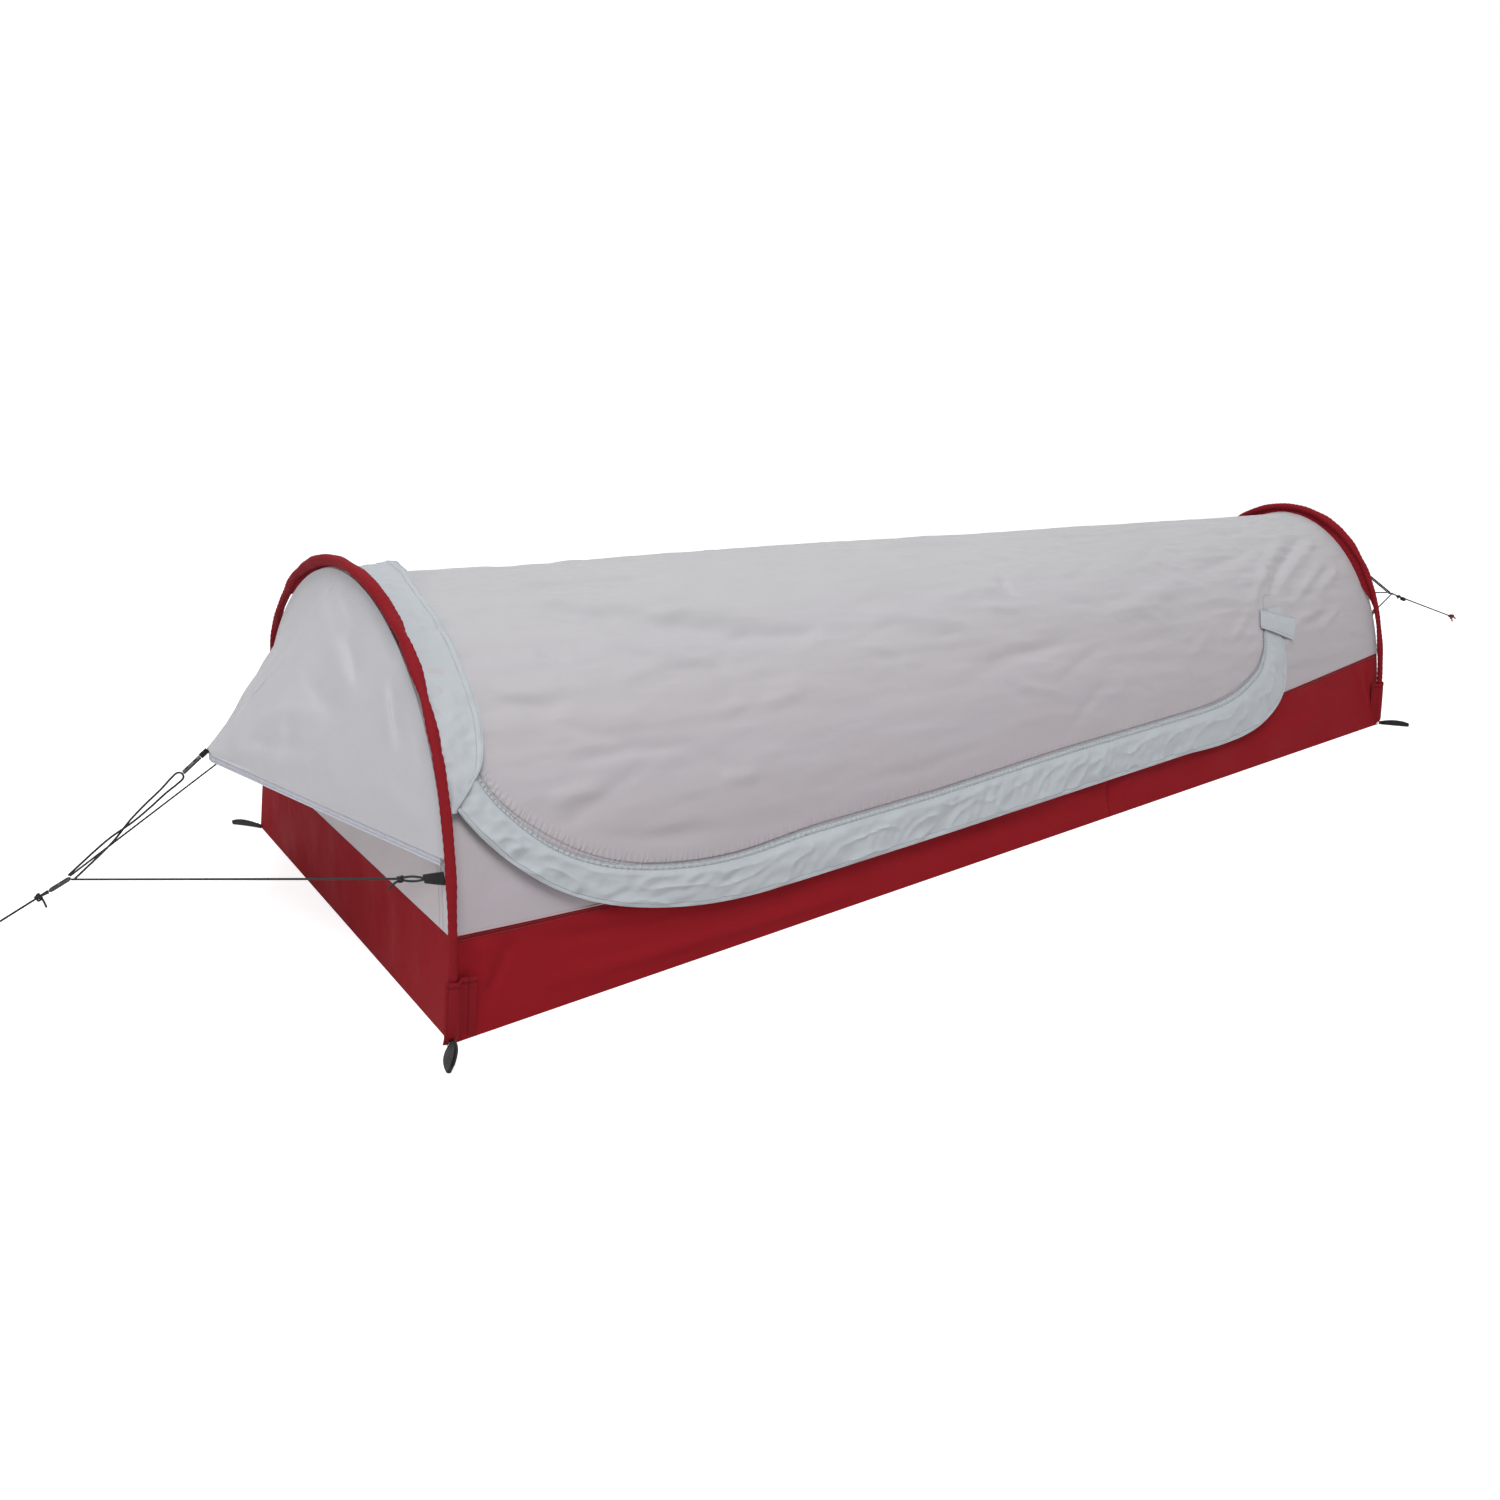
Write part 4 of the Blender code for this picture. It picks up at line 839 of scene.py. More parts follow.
def stitch_rows(word, surface, shares, rows, body="tent"):
    """Rows of stitches along a surface, each at its own share across it."""
    for row, across in rows:
        path, normals = surface_line(surface, shares, np.full_like(shares, across))
        thread(f"{word}_{row}_stitches", path, normals, body=body)


def placed(centre, *parts):
    """Points about a centre. A part is a direction, and how far along it each of them lies."""
    return centre + sum(np.asarray(far)[..., None] * way for way, far in parts)


# Finishes

class Finish:
    """A material's nodes, with short calls to add and join them."""

    def __init__(self, name, colour, roughness, **sockets):
        self.made = bpy.data.materials.new(name)
        self.made.use_nodes = True
        self.tree = self.made.node_tree
        self.shader = self.tree.nodes["Principled BSDF"]
        self.colour = tuple(colour)
        self.shader.inputs["Base Color"].default_value = (*colour, 1.0)
        self.shader.inputs["Roughness"].default_value = roughness
        for socket, value in sockets.items():
            self.shader.inputs[socket.replace("_", " ")].default_value = value
        self.coordinates = self.tree.nodes.new("ShaderNodeTexCoord")

    def add(self, kind, **settings):
        """Add a node and set its properties."""
        node = self.tree.nodes.new(kind)
        for key, value in settings.items():
            setattr(node, key, value)
        return node

    def join(self, source, target):
        """Join two sockets."""
        self.tree.links.new(source, target)

    def grain(self, scale, detail=3.0, space="Object", stretch=(1, 1, 1)):
        """A noise pattern, as a socket from 0 to 1."""
        mapping = self.add("ShaderNodeMapping")
        mapping.inputs["Scale"].default_value = stretch
        self.join(self.coordinates.outputs[space], mapping.inputs["Vector"])
        pattern = self.add("ShaderNodeTexNoise")
        pattern.inputs["Scale"].default_value = scale
        pattern.inputs["Detail"].default_value = detail
        self.join(mapping.outputs["Vector"], pattern.inputs["Vector"])
        return pattern.outputs["Fac"]

    def bands(self, period, turn=0.0, source=None, unevenness=0.0):
        """Soft stripes on the UV map or another source at a period in metres, turned by an angle."""
        mapping = self.add("ShaderNodeMapping")
        mapping.inputs["Rotation"].default_value = (0.0, 0.0, turn)
        self.join(source or self.coordinates.outputs["UV"], mapping.inputs["Vector"])
        pattern = self.add("ShaderNodeTexWave", wave_type="BANDS", bands_direction="X")
        pattern.inputs["Scale"].default_value = 2 * pi / (20 * period)
        pattern.inputs["Distortion"].default_value = unevenness
        self.join(mapping.outputs["Vector"], pattern.inputs["Vector"])
        return pattern.outputs["Fac"]

    def maths(self, operation, first, second):
        """Arithmetic on a socket and a socket or number."""
        node = self.add("ShaderNodeMath", operation=operation)
        for socket, value in zip(node.inputs, (first, second)):
            if isinstance(value, (int, float)):
                socket.default_value = value
            else:
                self.join(value, socket)
        return node.outputs["Value"]

    def ranged(self, source, low, high, start=0.3, end=0.7):
        """A pattern's values between start and end, spread from low to high."""
        node = self.add("ShaderNodeMapRange")
        self.join(source, node.inputs["Value"])
        for socket, value in (("From Min", start), ("From Max", end), ("To Min", low), ("To Max", high)):
            node.inputs[socket].default_value = value
        return node.outputs["Result"]

    def seam_map(self):
        """The seam map of the piece, as a vector socket."""
        return self.add("ShaderNodeAttribute", attribute_name="seam_map").outputs["Vector"]

    def line(self, axis, at, half):
        """1 on a line of the seam map and 0 beyond a half width from it."""
        apart = self.add("ShaderNodeSeparateXYZ")
        self.join(self.seam_map(), apart.inputs["Vector"])
        away = self.maths("ABSOLUTE", self.maths("SUBTRACT", apart.outputs[axis], at), 0.0)
        return self.ranged(away, 1.0, 0.0, 0.0, half)

    def seams(self, rows):
        """Sewn lines: a groove gets painted shade, darker than the cloth, and a raised line gets a painted
        highlight, lighter.
        """
        for axis, at, half, rise in rows:
            line = self.line(axis, at, half)
            self.tint(self.maths("MULTIPLY", line, 0.4), shaded(self.colour, 0.5 if rise < 0 else 1.3))
            self.bump(line if rise > 0 else self.maths("SUBTRACT", 1.0, line), 1.0, abs(rise))

    def gathers(self, at, half, period, height):
        """Small puckers square to a sewn line, with a bump and painted shade in their troughs."""
        wave = self.bands(period, source=self.seam_map(), unevenness=1.5)
        beside = self.line("Y", at, half)
        self.bump(self.maths("MULTIPLY", wave, beside), 1.0, height)
        shade = self.maths("MULTIPLY", self.ranged(wave, 0.25, 0.0, 0.0, 0.5), beside)
        self.tint(shade, shaded(self.colour, 0.75))

    def tint(self, share, colour):
        """Blend the base colour towards another by a socket from 0 to 1."""
        node = self.add("ShaderNodeMix", data_type="RGBA")
        existing = self.shader.inputs["Base Color"]
        if existing.is_linked:
            self.join(existing.links[0].from_socket, node.inputs["A"])
        else:
            node.inputs["A"].default_value = (*self.colour, 1.0)
        node.inputs["B"].default_value = (*colour, 1.0)
        self.join(share, node.inputs["Factor"])
        self.join(node.outputs["Result"], existing)

    def bump(self, height, strength, distance):
        """Add a bump over those already there."""
        node = self.add("ShaderNodeBump")
        node.inputs["Strength"].default_value = strength
        node.inputs["Distance"].default_value = distance
        self.join(height, node.inputs["Height"])
        existing = self.shader.inputs["Normal"]
        if existing.is_linked:
            self.join(existing.links[0].from_socket, node.inputs["Normal"])
        self.join(node.outputs["Normal"], existing)


def shaded(colour, factor):
    """A colour made darker or lighter."""
    return tuple(min(channel * factor, 1.0) for channel in colour)


def cloth_finish(name, colour, roughness=0.62, sheen=0.08, crinkle=0.3, gloss=0.3, painted_red_glow=False, seams=(),
                 gathers=None):
    """Coated cloth: fine weave, soft crinkles, a slight drift of colour, handling marks and sewn lines. Sewn
    lines and puckers carry painted shade, and the lower canopy can take a painted pink glow of red floor
    light.
    """
    finish = Finish(name, colour, roughness, Sheen_Weight=sheen, Sheen_Roughness=0.5,
                    Specular_IOR_Level=gloss)
    # Painted light: the cloth is tinted pink towards the bottom, standing in for red light from the floor
    # tray
    if painted_red_glow:
        apart = finish.add("ShaderNodeSeparateXYZ")
        finish.join(finish.coordinates.outputs["Object"], apart.inputs["Vector"])
        low = finish.ranged(apart.outputs["Z"], 1.0, 0.0, 0.16, 0.46)
        finish.tint(low, bpy.context.scene.shelter_colours.canopy_red_glow)
    finish.tint(finish.ranged(finish.grain(2.6), 0.0, 0.35), shaded(finish.colour, 0.93))
    finish.tint(finish.ranged(finish.grain(34.0, 5.0), 0.0, 0.18, 0.50, 0.75), shaded(finish.colour, 0.86))
    finish.join(finish.ranged(finish.grain(9.0, 4.0), roughness - 0.07, roughness + 0.07),
                finish.shader.inputs["Roughness"])
    finish.bump(finish.grain(26.0, 5.0, stretch=(0.7, 1.0, 1.0)), crinkle, 0.004)
    finish.bump(finish.grain(85.0, 4.0), crinkle * 0.7, 0.0012)
    over = finish.maths("MULTIPLY", finish.bands(CLOTH_WEAVE), finish.bands(CLOTH_WEAVE, pi / 2))
    finish.bump(over, 0.25, 0.00012)
    if gathers is not None:
        finish.gathers(*gathers)
    finish.seams(seams)
    return finish.made


def webbing_finish(name, colour):
    """Woven strap: ribs along it, a fine weave across and scuffed high spots."""
    finish = Finish(name, colour, 0.68, Sheen_Weight=0.05, Sheen_Roughness=0.4, Specular_IOR_Level=0.2)
    finish.tint(finish.ranged(finish.grain(120.0, 4.0), 0.0, 0.5, 0.45, 0.75), shaded(colour, 2.4))
    ribs = finish.maths("MULTIPLY", finish.bands(0.0016), finish.bands(0.0011, pi / 2))
    finish.bump(ribs, 0.8, 0.0005)
    return finish.made


def braid_finish(name, colour, fleck=1.5):
    """Braided cord: two crossing spirals with a paler fleck."""
    finish = Finish(name, colour, 0.75, Sheen_Weight=0.02, Sheen_Roughness=0.5, Specular_IOR_Level=0.15)
    over = finish.maths("MAXIMUM", finish.bands(0.0012, radians(38)), finish.bands(0.0012, radians(-38)))
    finish.tint(finish.ranged(over, 0.0, 0.5, 0.35, 0.95), shaded(colour, fleck))
    finish.bump(over, 0.9, 0.0005)
    return finish.made


def plastic_finish(name, colour):
    """Moulded plastic with a fine grain and rubbed edges."""
    finish = Finish(name, colour, 0.42, Specular_IOR_Level=0.5)
    finish.tint(finish.ranged(finish.grain(260.0, 4.0), 0.0, 0.4, 0.5, 0.8), shaded(colour, 2.6))
    finish.bump(finish.grain(900.0, 2.0), 0.15, 0.0002)
    return finish.made


def alloy_finish(name, colour):
    """Drawn alloy tube with fine lines along it and dull patches."""
    finish = Finish(name, colour, 0.32, Metallic=1.0)
    finish.join(finish.ranged(finish.grain(60.0, 4.0), 0.24, 0.44), finish.shader.inputs["Roughness"])
    finish.tint(finish.ranged(finish.grain(18.0, 3.0), 0.0, 0.4), shaded(colour, 0.8))
    finish.bump(finish.grain(1400.0, 2.0, stretch=(1.0, 0.05, 0.05)), 0.1, 0.0001)
    return finish.made


def net_finish(name, colour):
    """Fine insect net: threads on the UV map with open holes between them."""
    finish = Finish(name, colour, 0.75, Sheen_Weight=0.2)
    lines = finish.maths("MAXIMUM", finish.bands(0.0016), finish.bands(0.0016, pi / 2))
    finish.join(finish.ranged(lines, 0.0, 1.0, 0.80, 0.86), finish.shader.inputs["Alpha"])
    finish.tint(finish.ranged(finish.grain(30.0), 0.0, 0.4), shaded(colour, 1.8))
    finish.bump(lines, 0.5, 0.0003)
    return finish.made


def thread_finish(name, colour):
    """Sewing thread with a fine twist."""
    finish = Finish(name, colour, 0.6, Sheen_Weight=0.3)
    finish.tint(finish.ranged(finish.grain(400.0, 3.0), 0.0, 0.5), shaded(colour, 0.75))
    finish.bump(finish.bands(0.0006, radians(30)), 0.5, 0.0002)
    return finish.made


PALE = {"roughness": 0.55, "crinkle": 0.4}
COATED = {"roughness": 0.7, "sheen": 0.0, "gloss": 0.03}
TIGHT = {"roughness": 0.7, "sheen": 0.0, "gloss": 0.06, "crinkle": 0.5}

# Finishes by kind: what makes it, its colour in the sidebar, its slot and its settings
# Seams in these settings are grooves with painted shade along them, and gathers are puckers with painted
# shade in their troughs
FINISHES = {
    # The canopy and the door take the painted pink glow of red floor light low down
    "canopy": (cloth_finish, "canopy", "canopy_grey", {"painted_red_glow": True}),
    # The door's groove line just beyond the storm flap's edge is a painted shadow of the flap, and its
    # gathers carry painted shade
    "door": (cloth_finish, "canopy", "canopy_grey", {
        "painted_red_glow": True, "seams": (("Y", -0.0012, 0.0018, -0.0008),),
        "gathers": (-0.004, 0.013, 0.0085, 0.0009)}),
    "hood": (cloth_finish, "hood", "canopy_grey", {"crinkle": 0.35}),
    # The head panel's colour holds painted light: lighter and pinker than the canopy's same grey cloth
    "panel": (cloth_finish, "panel", "canopy_grey", {
        "crinkle": 0.35, "seams": (("X", 0.012, 0.0018, -0.0010), ("X", 0.019, 0.0018, -0.0010))}),
    "hem": (cloth_finish, "hem", "canopy_grey", {
        **PALE, "seams": (("Y", 0.24, 0.09, -0.0006), ("Y", 0.76, 0.09, -0.0006))}),
    "collar": (cloth_finish, "pale", "flap_pale", {
        **PALE, "gathers": (0.0, 0.16, 0.012, 0.0012),
        "seams": (("Y", 0.850, 0.013, -0.0004), ("Y", 0.97, 0.016, -0.0003))}),
    "flap": (cloth_finish, "pale", "flap_pale", {
        **PALE, "gathers": (0.06, 0.13, 0.0095, 0.0014),
        "seams": (("Y", 0.020, 0.022, -0.0012), ("Y", 0.115, 0.018, -0.0012),
                  ("Y", 0.900, 0.018, -0.0008))}),
    "tab": (cloth_finish, "pale", "flap_pale", {
        **PALE, "seams": (("Y", 0.06, 0.04, -0.0005), ("Y", 0.90, 0.04, -0.0006))}),
    "red": (cloth_finish, "red", "floor_red", COATED),
    "wall": (cloth_finish, "red", "floor_red", {
        **COATED, "crinkle": 0.4,
        "seams": (("Y", 0.978, 0.013, -0.0008), ("Y", 0.938, 0.013, -0.0008),
                  ("X", 1.2125, 0.0026, -0.0014))}),
    "sleeve": (cloth_finish, "sleeve", "floor_red", TIGHT),
    "pocket": (cloth_finish, "sleeve", "floor_red", {
        **TIGHT,
        "seams": (("Y", 0.90, 0.035, -0.0010), ("X", 0.0026, 0.0012, -0.0008),
                  ("X", 0.0345, 0.0014, -0.0008))}),
    "binding": (cloth_finish, "binding", "flap_pale", {"roughness": 0.6, "sheen": 0.1}),
    "webbing": (webbing_finish, "webbing", "webbing_black", {}),
    "cord": (braid_finish, "cord", "cord_grey", {}),
    "end_knot": (braid_finish, "end_knot", "end_knot_red", {"fleck": 2.0}),
    "plastic": (plastic_finish, "plastic", "plastic_black", {}),
    "alloy": (alloy_finish, "alloy", "pole_alloy", {}),
    "net": (net_finish, "net", "vent_mesh", {}),
    "tape": (webbing_finish, "tape", "zip_grey", {}),
    "pale_thread": (thread_finish, "pale_thread", "flap_pale", {}),
    "red_thread": (thread_finish, "red_thread", "floor_red", {}),
}


def finish_for(kind):
    """A finish by its kind, made from the sidebar's colours on its first use."""
    name = f"shelter_{kind}"
    make, colour, _, settings = FINISHES[kind]
    chosen = getattr(bpy.context.scene.shelter_colours, colour)
    return bpy.data.materials.get(name) or make(name, chosen, **settings)


def dress_node(name, kind):
    """Give a CAD node that stays a procedural finish."""
    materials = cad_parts[name].data.materials
    if len(materials) == 0:
        materials.append(finish_for(kind))
    for index in range(len(materials)):
        materials[index] = finish_for(kind)


# Stage

def make_stage(context):
    """The floor, the daylight, the lamps and the camera."""
    stage = context.scene.shelter_stage
    shape = bmesh.new()
    bmesh.ops.create_grid(shape, x_segments=4, y_segments=4, size=stage.floor_size / 2,
                          matrix=Matrix.Translation((0, 0, -0.0006)))
    mesh = bpy.data.meshes.new("floor")
    shape.to_mesh(mesh)
    shape.free()
    floor = bpy.data.objects.new("floor", mesh)
    context.scene.collection.objects.link(floor)
    mesh.materials.append(floor_finish(stage))
    make_daylight(context, stage)
    lamps = (("key_lamp", (-1.6, -2.4, 5.2), stage.key_power, 2.6),
             ("fill_lamp", (-4.4, -1.2, 1.6), stage.fill_power, 2.0),
             ("top_lamp", (1.4, 0.8, 5.0), stage.top_power, 3.0))
    for name, spot, power, size in lamps:
        lamp = bpy.data.lights.new(name, "AREA")
        lamp.energy = power
        lamp.size = size
        holder = bpy.data.objects.new(name, lamp)
        holder.location = spot
        holder.rotation_euler = (Vector((0, 0, 0.2)) - Vector(spot)).to_track_quat("-Z", "Y").to_euler()
        context.scene.collection.objects.link(holder)
    make_camera(context, stage)
    context.scene.view_settings.view_transform = "Standard"


def seen_share(finish):
    """1 for rays that the camera sees the background by, directly, in gloss or through glass."""
    path = finish.nodes.new("ShaderNodeLightPath")
    total = None
    for name in ("Is Camera Ray", "Is Glossy Ray", "Is Transmission Ray"):
        if total is None:
            total = path.outputs[name]
            continue
        node = finish.nodes.new("ShaderNodeMath")
        node.operation = "MAXIMUM"
        finish.links.new(total, node.inputs[0])
        finish.links.new(path.outputs[name], node.inputs[1])
        total = node.outputs["Value"]
    return total


def floor_finish(stage):
    """A pale floor that shows nearly white, with the object's shadow."""
    made = bpy.data.materials.new("stage_floor")
    made.use_nodes = True
    tree = made.node_tree
    shader = tree.nodes["Principled BSDF"]
    shader.inputs["Base Color"].default_value = (*stage.floor_colour, 1.0)
    shader.inputs["Roughness"].default_value = 1.0
    shader.inputs["Specular IOR Level"].default_value = 0.0
    shader.inputs["Emission Color"].default_value = (1.0, 1.0, 1.0, 1.0)
    strength = tree.nodes.new("ShaderNodeMath")
    strength.operation = "MULTIPLY"
    strength.inputs[1].default_value = stage.floor_glow
    tree.links.new(seen_share(tree), strength.inputs[0])
    tree.links.new(strength.outputs["Value"], shader.inputs["Emission Strength"])
    return made


def make_daylight(context, stage):
    """An even pale world, white where the camera sees it."""
    world = context.scene.world or bpy.data.worlds.new("daylight")
    context.scene.world = world
    world.use_nodes = True
    tree = world.node_tree
    tree.nodes.clear()
    light, seen = tree.nodes.new("ShaderNodeBackground"), tree.nodes.new("ShaderNodeBackground")
    light.inputs["Color"].default_value = (0.97, 0.985, 1.0, 1.0)
    light.inputs["Strength"].default_value = stage.daylight
    seen.inputs["Color"].default_value = (1.0, 1.0, 1.0, 1.0)
    choice, output = tree.nodes.new("ShaderNodeMixShader"), tree.nodes.new("ShaderNodeOutputWorld")
    tree.links.new(seen_share(tree), choice.inputs["Fac"])
    tree.links.new(light.outputs["Background"], choice.inputs[1])
    tree.links.new(seen.outputs["Background"], choice.inputs[2])
    tree.links.new(choice.outputs["Shader"], output.inputs["Surface"])


def make_camera(context, stage):
    """The photograph's view."""
    camera = bpy.data.cameras.new("camera")
    camera.sensor_width = 36.0
    camera.lens = stage.lens
    yaw, pitch = stage.camera_turn, stage.camera_tilt
    ahead = Vector((-sin(yaw) * cos(pitch), cos(yaw) * cos(pitch), sin(pitch)))
    right = Vector((cos(yaw), sin(yaw), 0.0))
    turned = Matrix((right, right.cross(ahead), -ahead)).transposed().to_4x4()
    holder = bpy.data.objects.new("camera", camera)
    holder.matrix_world = Matrix.Translation(stage.camera_place) @ turned
    context.scene.collection.objects.link(holder)
    context.scene.camera = holder


# Guy lines

def ring_place(end):
    """Where the legs of a guy line meet."""
    return place(*GUY_RING[end])


def line_way(end):
    """The direction of an end's main line, away from the shelter."""
    return unit(place(*LINE_END[end]) - ring_place(end))


def ring_edge(end, way):
    """The edge of the fitting where the lines meet: 1 away from the shelter, -1 towards it."""
    return ring_place(end) + way * line_way(end) * (BUCKLE_LENGTH / 2 + GAP)


def tab_root(end, side):
    """Where a guy tab is sewn to the corner seam, and the way that it points."""
    along, z = END_SHARE[end], TAB_HEIGHT[end]
    y = floor_half_width(along) * (1 - (z / ridge_height(along)) ** BODY_UP) ** (1 / BODY_ACROSS)
    seam = np.array((end_plane(along, z), side * y, z))
    way = unit(ring_place(end) - seam)
    return seam + way * TAB_STAND_OFF, way


def square_pair(way):
    """Two directions square to a way: one level, one as near to up as it can be."""
    level = unit(np.cross(UP, way))
    return level, np.cross(way, level)


def straight(start, end, count):
    """Evenly spaced points of a straight line."""
    return mix(start[None], end[None], np.linspace(0, 1, count)[:, None])


def make_cord(name, path, diameter, node):
    """A taut cord along a path."""
    piece = tube(name, path, diameter / 2, "cord", node, sides=10)


def make_knot(name, centre, way, size, diameter, kind="cord", node=""):
    """An overhand knot, drawn as a closed trefoil of cord."""
    level, upright = square_pair(way)
    turn = np.linspace(0, 2 * pi, 73)
    x, y = np.sin(turn) + 2 * np.sin(2 * turn), np.cos(turn) - 2 * np.cos(2 * turn)
    path = placed(centre, (level, size * KNOT_ACROSS * x), (upright, size * KNOT_ACROSS * y),
                  (way, -size * KNOT_DEEP * np.sin(3 * turn)))
    return tube(name, path, diameter / 2, kind, node)


def make_whipping(name, centre, way, radius, diameter, turns):
    """Turns of cord wound round a line, side by side."""
    level, upright = square_pair(way)
    turn = np.linspace(0, 2 * pi * turns, turns * 16 + 1)
    along = np.linspace(-0.5, 0.5, len(turn)) * turns * diameter * 1.02
    path = placed(centre, (level, radius * np.cos(turn)), (upright, radius * np.sin(turn)), (way, along))
    return tube(name, path, diameter / 2, "cord")


def make_tail(name, start, way, drop, length, diameter, kind="cord"):
    """A short cut end of cord that leaves a knot and droops."""
    share = np.linspace(0, 1, 12)
    return tube(name, placed(start, (way, share * length), (UP, -drop * share ** 2)), diameter / 2, kind)


def twin_path(low, top, diameter, apart):
    """A doubled cord that crosses itself half way, goes round a fitting and comes back."""
    down = unit(low - top)
    level, upright = square_pair(down)
    share = np.linspace(0, 0.96, 22)
    turn = pi * (1.5 - eased(0.34, 0.62, share))
    size = mix(apart * 1.16, apart, share) * (1 - 0.55 * np.exp(-((share - 0.48) / 0.14) ** 2))
    radius = CORD_BEND * diameter
    size = mix(np.maximum(size, 0.54 * diameter), radius, eased(0.80, 0.96, share))
    middle = mix(low[None], top[None], share[:, None])
    offset = placed(0.0, (level, size * np.cos(turn)), (upright, size * np.sin(turn)))
    turn = np.linspace(0.12 * pi, 0.88 * pi, 9)
    bend = placed(top, (down, radius * (1 - np.sin(turn))), (upright, radius * np.cos(turn)))
    return np.concatenate((middle + offset, bend, (middle - offset)[::-1]))


def make_junction(name, centre, way, node):
    """A flat moulded fitting with two slots, which the lines pass through."""
    level, _ = square_pair(way)
    turn = np.linspace(0, 2 * pi, 65)
    reach = (BUCKLE_LENGTH / 2 - BUCKLE_END) * np.sign(np.round(np.cos(turn), 9))
    reach = reach + BUCKLE_CORNER * np.cos(turn)
    path = placed(centre, (way, reach), (level, BUCKLE_HALF_WIDTH * np.sin(turn)))
    outer = tube(name, path, BUCKLE_ROD, "plastic", node)
    bar = straight(centre - level * BUCKLE_CORNER, centre + level * BUCKLE_CORNER, 6)
    tube(f"{name}_bar", bar, BAR_ROD, "plastic")
    return outer


def make_leg(end, word, diameter):
    """One side leg: from its webbing tab to the ring, with a tied loop at the tab."""
    name, side = f"{end}_{word}_leg", SIDES[word]
    root, way = tab_root(end, side)
    start = root + way * (TAB_LENGTH[end] - 2 * GAP)
    last = ring_edge(end, -1) + np.array((0.0, side * LEG_SPREAD, 0.0))
    way = unit(last - start)
    knot = start + way * LEG_KNOT
    level, upright = square_pair(way)
    share = np.linspace(0, 1, 14)
    bow = LEG_BOW * np.sin(pi * share)
    under = placed(start, (knot - start, share), (upright, -mix(0.0008, 0.0010, share) - bow))
    over = placed(start, (knot - start, share), (upright, mix(0.0008, 0.0006, share) + bow))
    tail = unit(way * 0.75 - level * 0.3 * side)
    pieces = [
        make_knot(f"{name}_knot", knot, way, 0.0014, diameter),
        make_tail(f"{name}_tail", knot - upright * 0.002, tail, 0.008, 0.013, diameter),
        tube(f"{name}_loop", under, diameter / 2, "cord", sides=10),
    ]
    path = np.concatenate((over[:-1], straight(knot, last, 26)))[::-1]
    make_cord(name, path, diameter, f"{end}_guy_{word}")


def hood_tip_fitting(low):
    """Where the doubled leg turns at the hood's buckle, and the webbing loop's middle."""
    tip = hood_skin(np.array(0.5), np.array(1.0))
    down = unit(low - tip)
    strap = tip + down * (HOOD_LOOP_LENGTH / 2 + HOOD_LOOP_CLEAR)
    buckle = strap + down * (HOOD_LOOP_LENGTH / 2 + GAP + BUCKLE_LENGTH / 2)
    return buckle + down * (BUCKLE_LENGTH / 2 + FITTING_ROD + GAP), strap


def foot_peak_fitting(low):
    """Where the doubled leg turns at the strap on the foot hoop's peak, and the strap's middle."""
    peak = np.array((LENGTH / 2 - HOOP_INSET - HOOP_LEAN * POLE_PEAK, 0.0, POLE_PEAK))
    down = unit(low - peak)
    strap = peak + down * (SLEEVE_RADIUS + PEAK_LOOP_LENGTH / 2 + 3 * GAP)
    return strap + down * (PEAK_LOOP_LENGTH / 2 + FITTING_ROD + GAP), strap


def make_head_line(diameter):
    """The head end's guy line: two legs, a doubled leg to the hood and the main line."""
    line, low, start = line_way("head"), ring_edge("head", -1), ring_edge("head", 1)
    junction = make_junction("head_junction", ring_place("head"), line, "head_line_ring")
    for word in SIDES:
        make_leg("head", word, diameter)
    path = twin_path(low, hood_tip_fitting(low)[0], diameter, TWIN_SPREAD["head"])
    make_cord("head_tip_leg", path, diameter, "head_guy_tip")
    knot, last = place(*GUY_KNOT["head"]), place(*LINE_END["head"])
    level, _ = square_pair(line)
    tail = unit(-0.35 * line - 0.65 * level)
    share = np.linspace(0, 1, 14)[:, None]
    back = mix(start + level * 0.0042, knot - line * 0.004 + level * 0.0012, share)
    pieces = [
        make_knot("head_main_knot", knot, line, 0.0017, diameter),
        make_tail("head_main_tail", knot + level * 0.002, tail, 0.022, 0.016, diameter),
        make_knot("head_end_knot", last - line * 0.010, line, 0.0017, diameter),
        tube("head_main_return", back, diameter / 2, "cord", sides=10),
    ]
    over = mix(start - level * 0.0036, knot - level * 0.0008, share[:-1])
    path = np.concatenate((over, straight(knot, last, 20)))
    make_cord("head_main_line", path, diameter, "head_guy_main")


def make_foot_line(diameter):
    """The foot end's guy line: two legs, a doubled leg to the hoop's peak and the main line."""
    line, low, start = line_way("foot"), ring_edge("foot", -1), ring_edge("foot", 1)
    for word in SIDES:
        make_leg("foot", word, diameter)
    path = twin_path(low, foot_peak_fitting(low)[0], diameter, TWIN_SPREAD["foot"])
    make_cord("foot_peak_leg", path, diameter, "foot_guy_peak")
    knot, last = place(*GUY_KNOT["foot"]), place(*LINE_END["foot"])
    level, upright = square_pair(line)
    centre, end_cord = last + line * END_KNOT_RADIUS, diameter * END_KNOT_THICKER
    low_way, side_way = unit(line - 0.5 * upright), unit(0.6 * line - level)
    pieces = [
        make_knot("foot_main_knot", mix(start, knot, 0.45), line, 0.0018, diameter),
        make_whipping("foot_main_whipping", knot, line, 0.0034, diameter, 5),
        make_knot("foot_end_knot", centre, line, 0.0026, end_cord, "end_knot", "foot_line_end_knot"),
        make_tail("foot_end_tail_low", centre, low_way, 0.006, 0.014, end_cord, "end_knot"),
        make_tail("foot_end_tail_side", centre, side_way, 0.004, 0.012, end_cord, "end_knot"),
    ]
    make_cord("foot_main_line", straight(start, last, 30), diameter, "foot_guy_main")


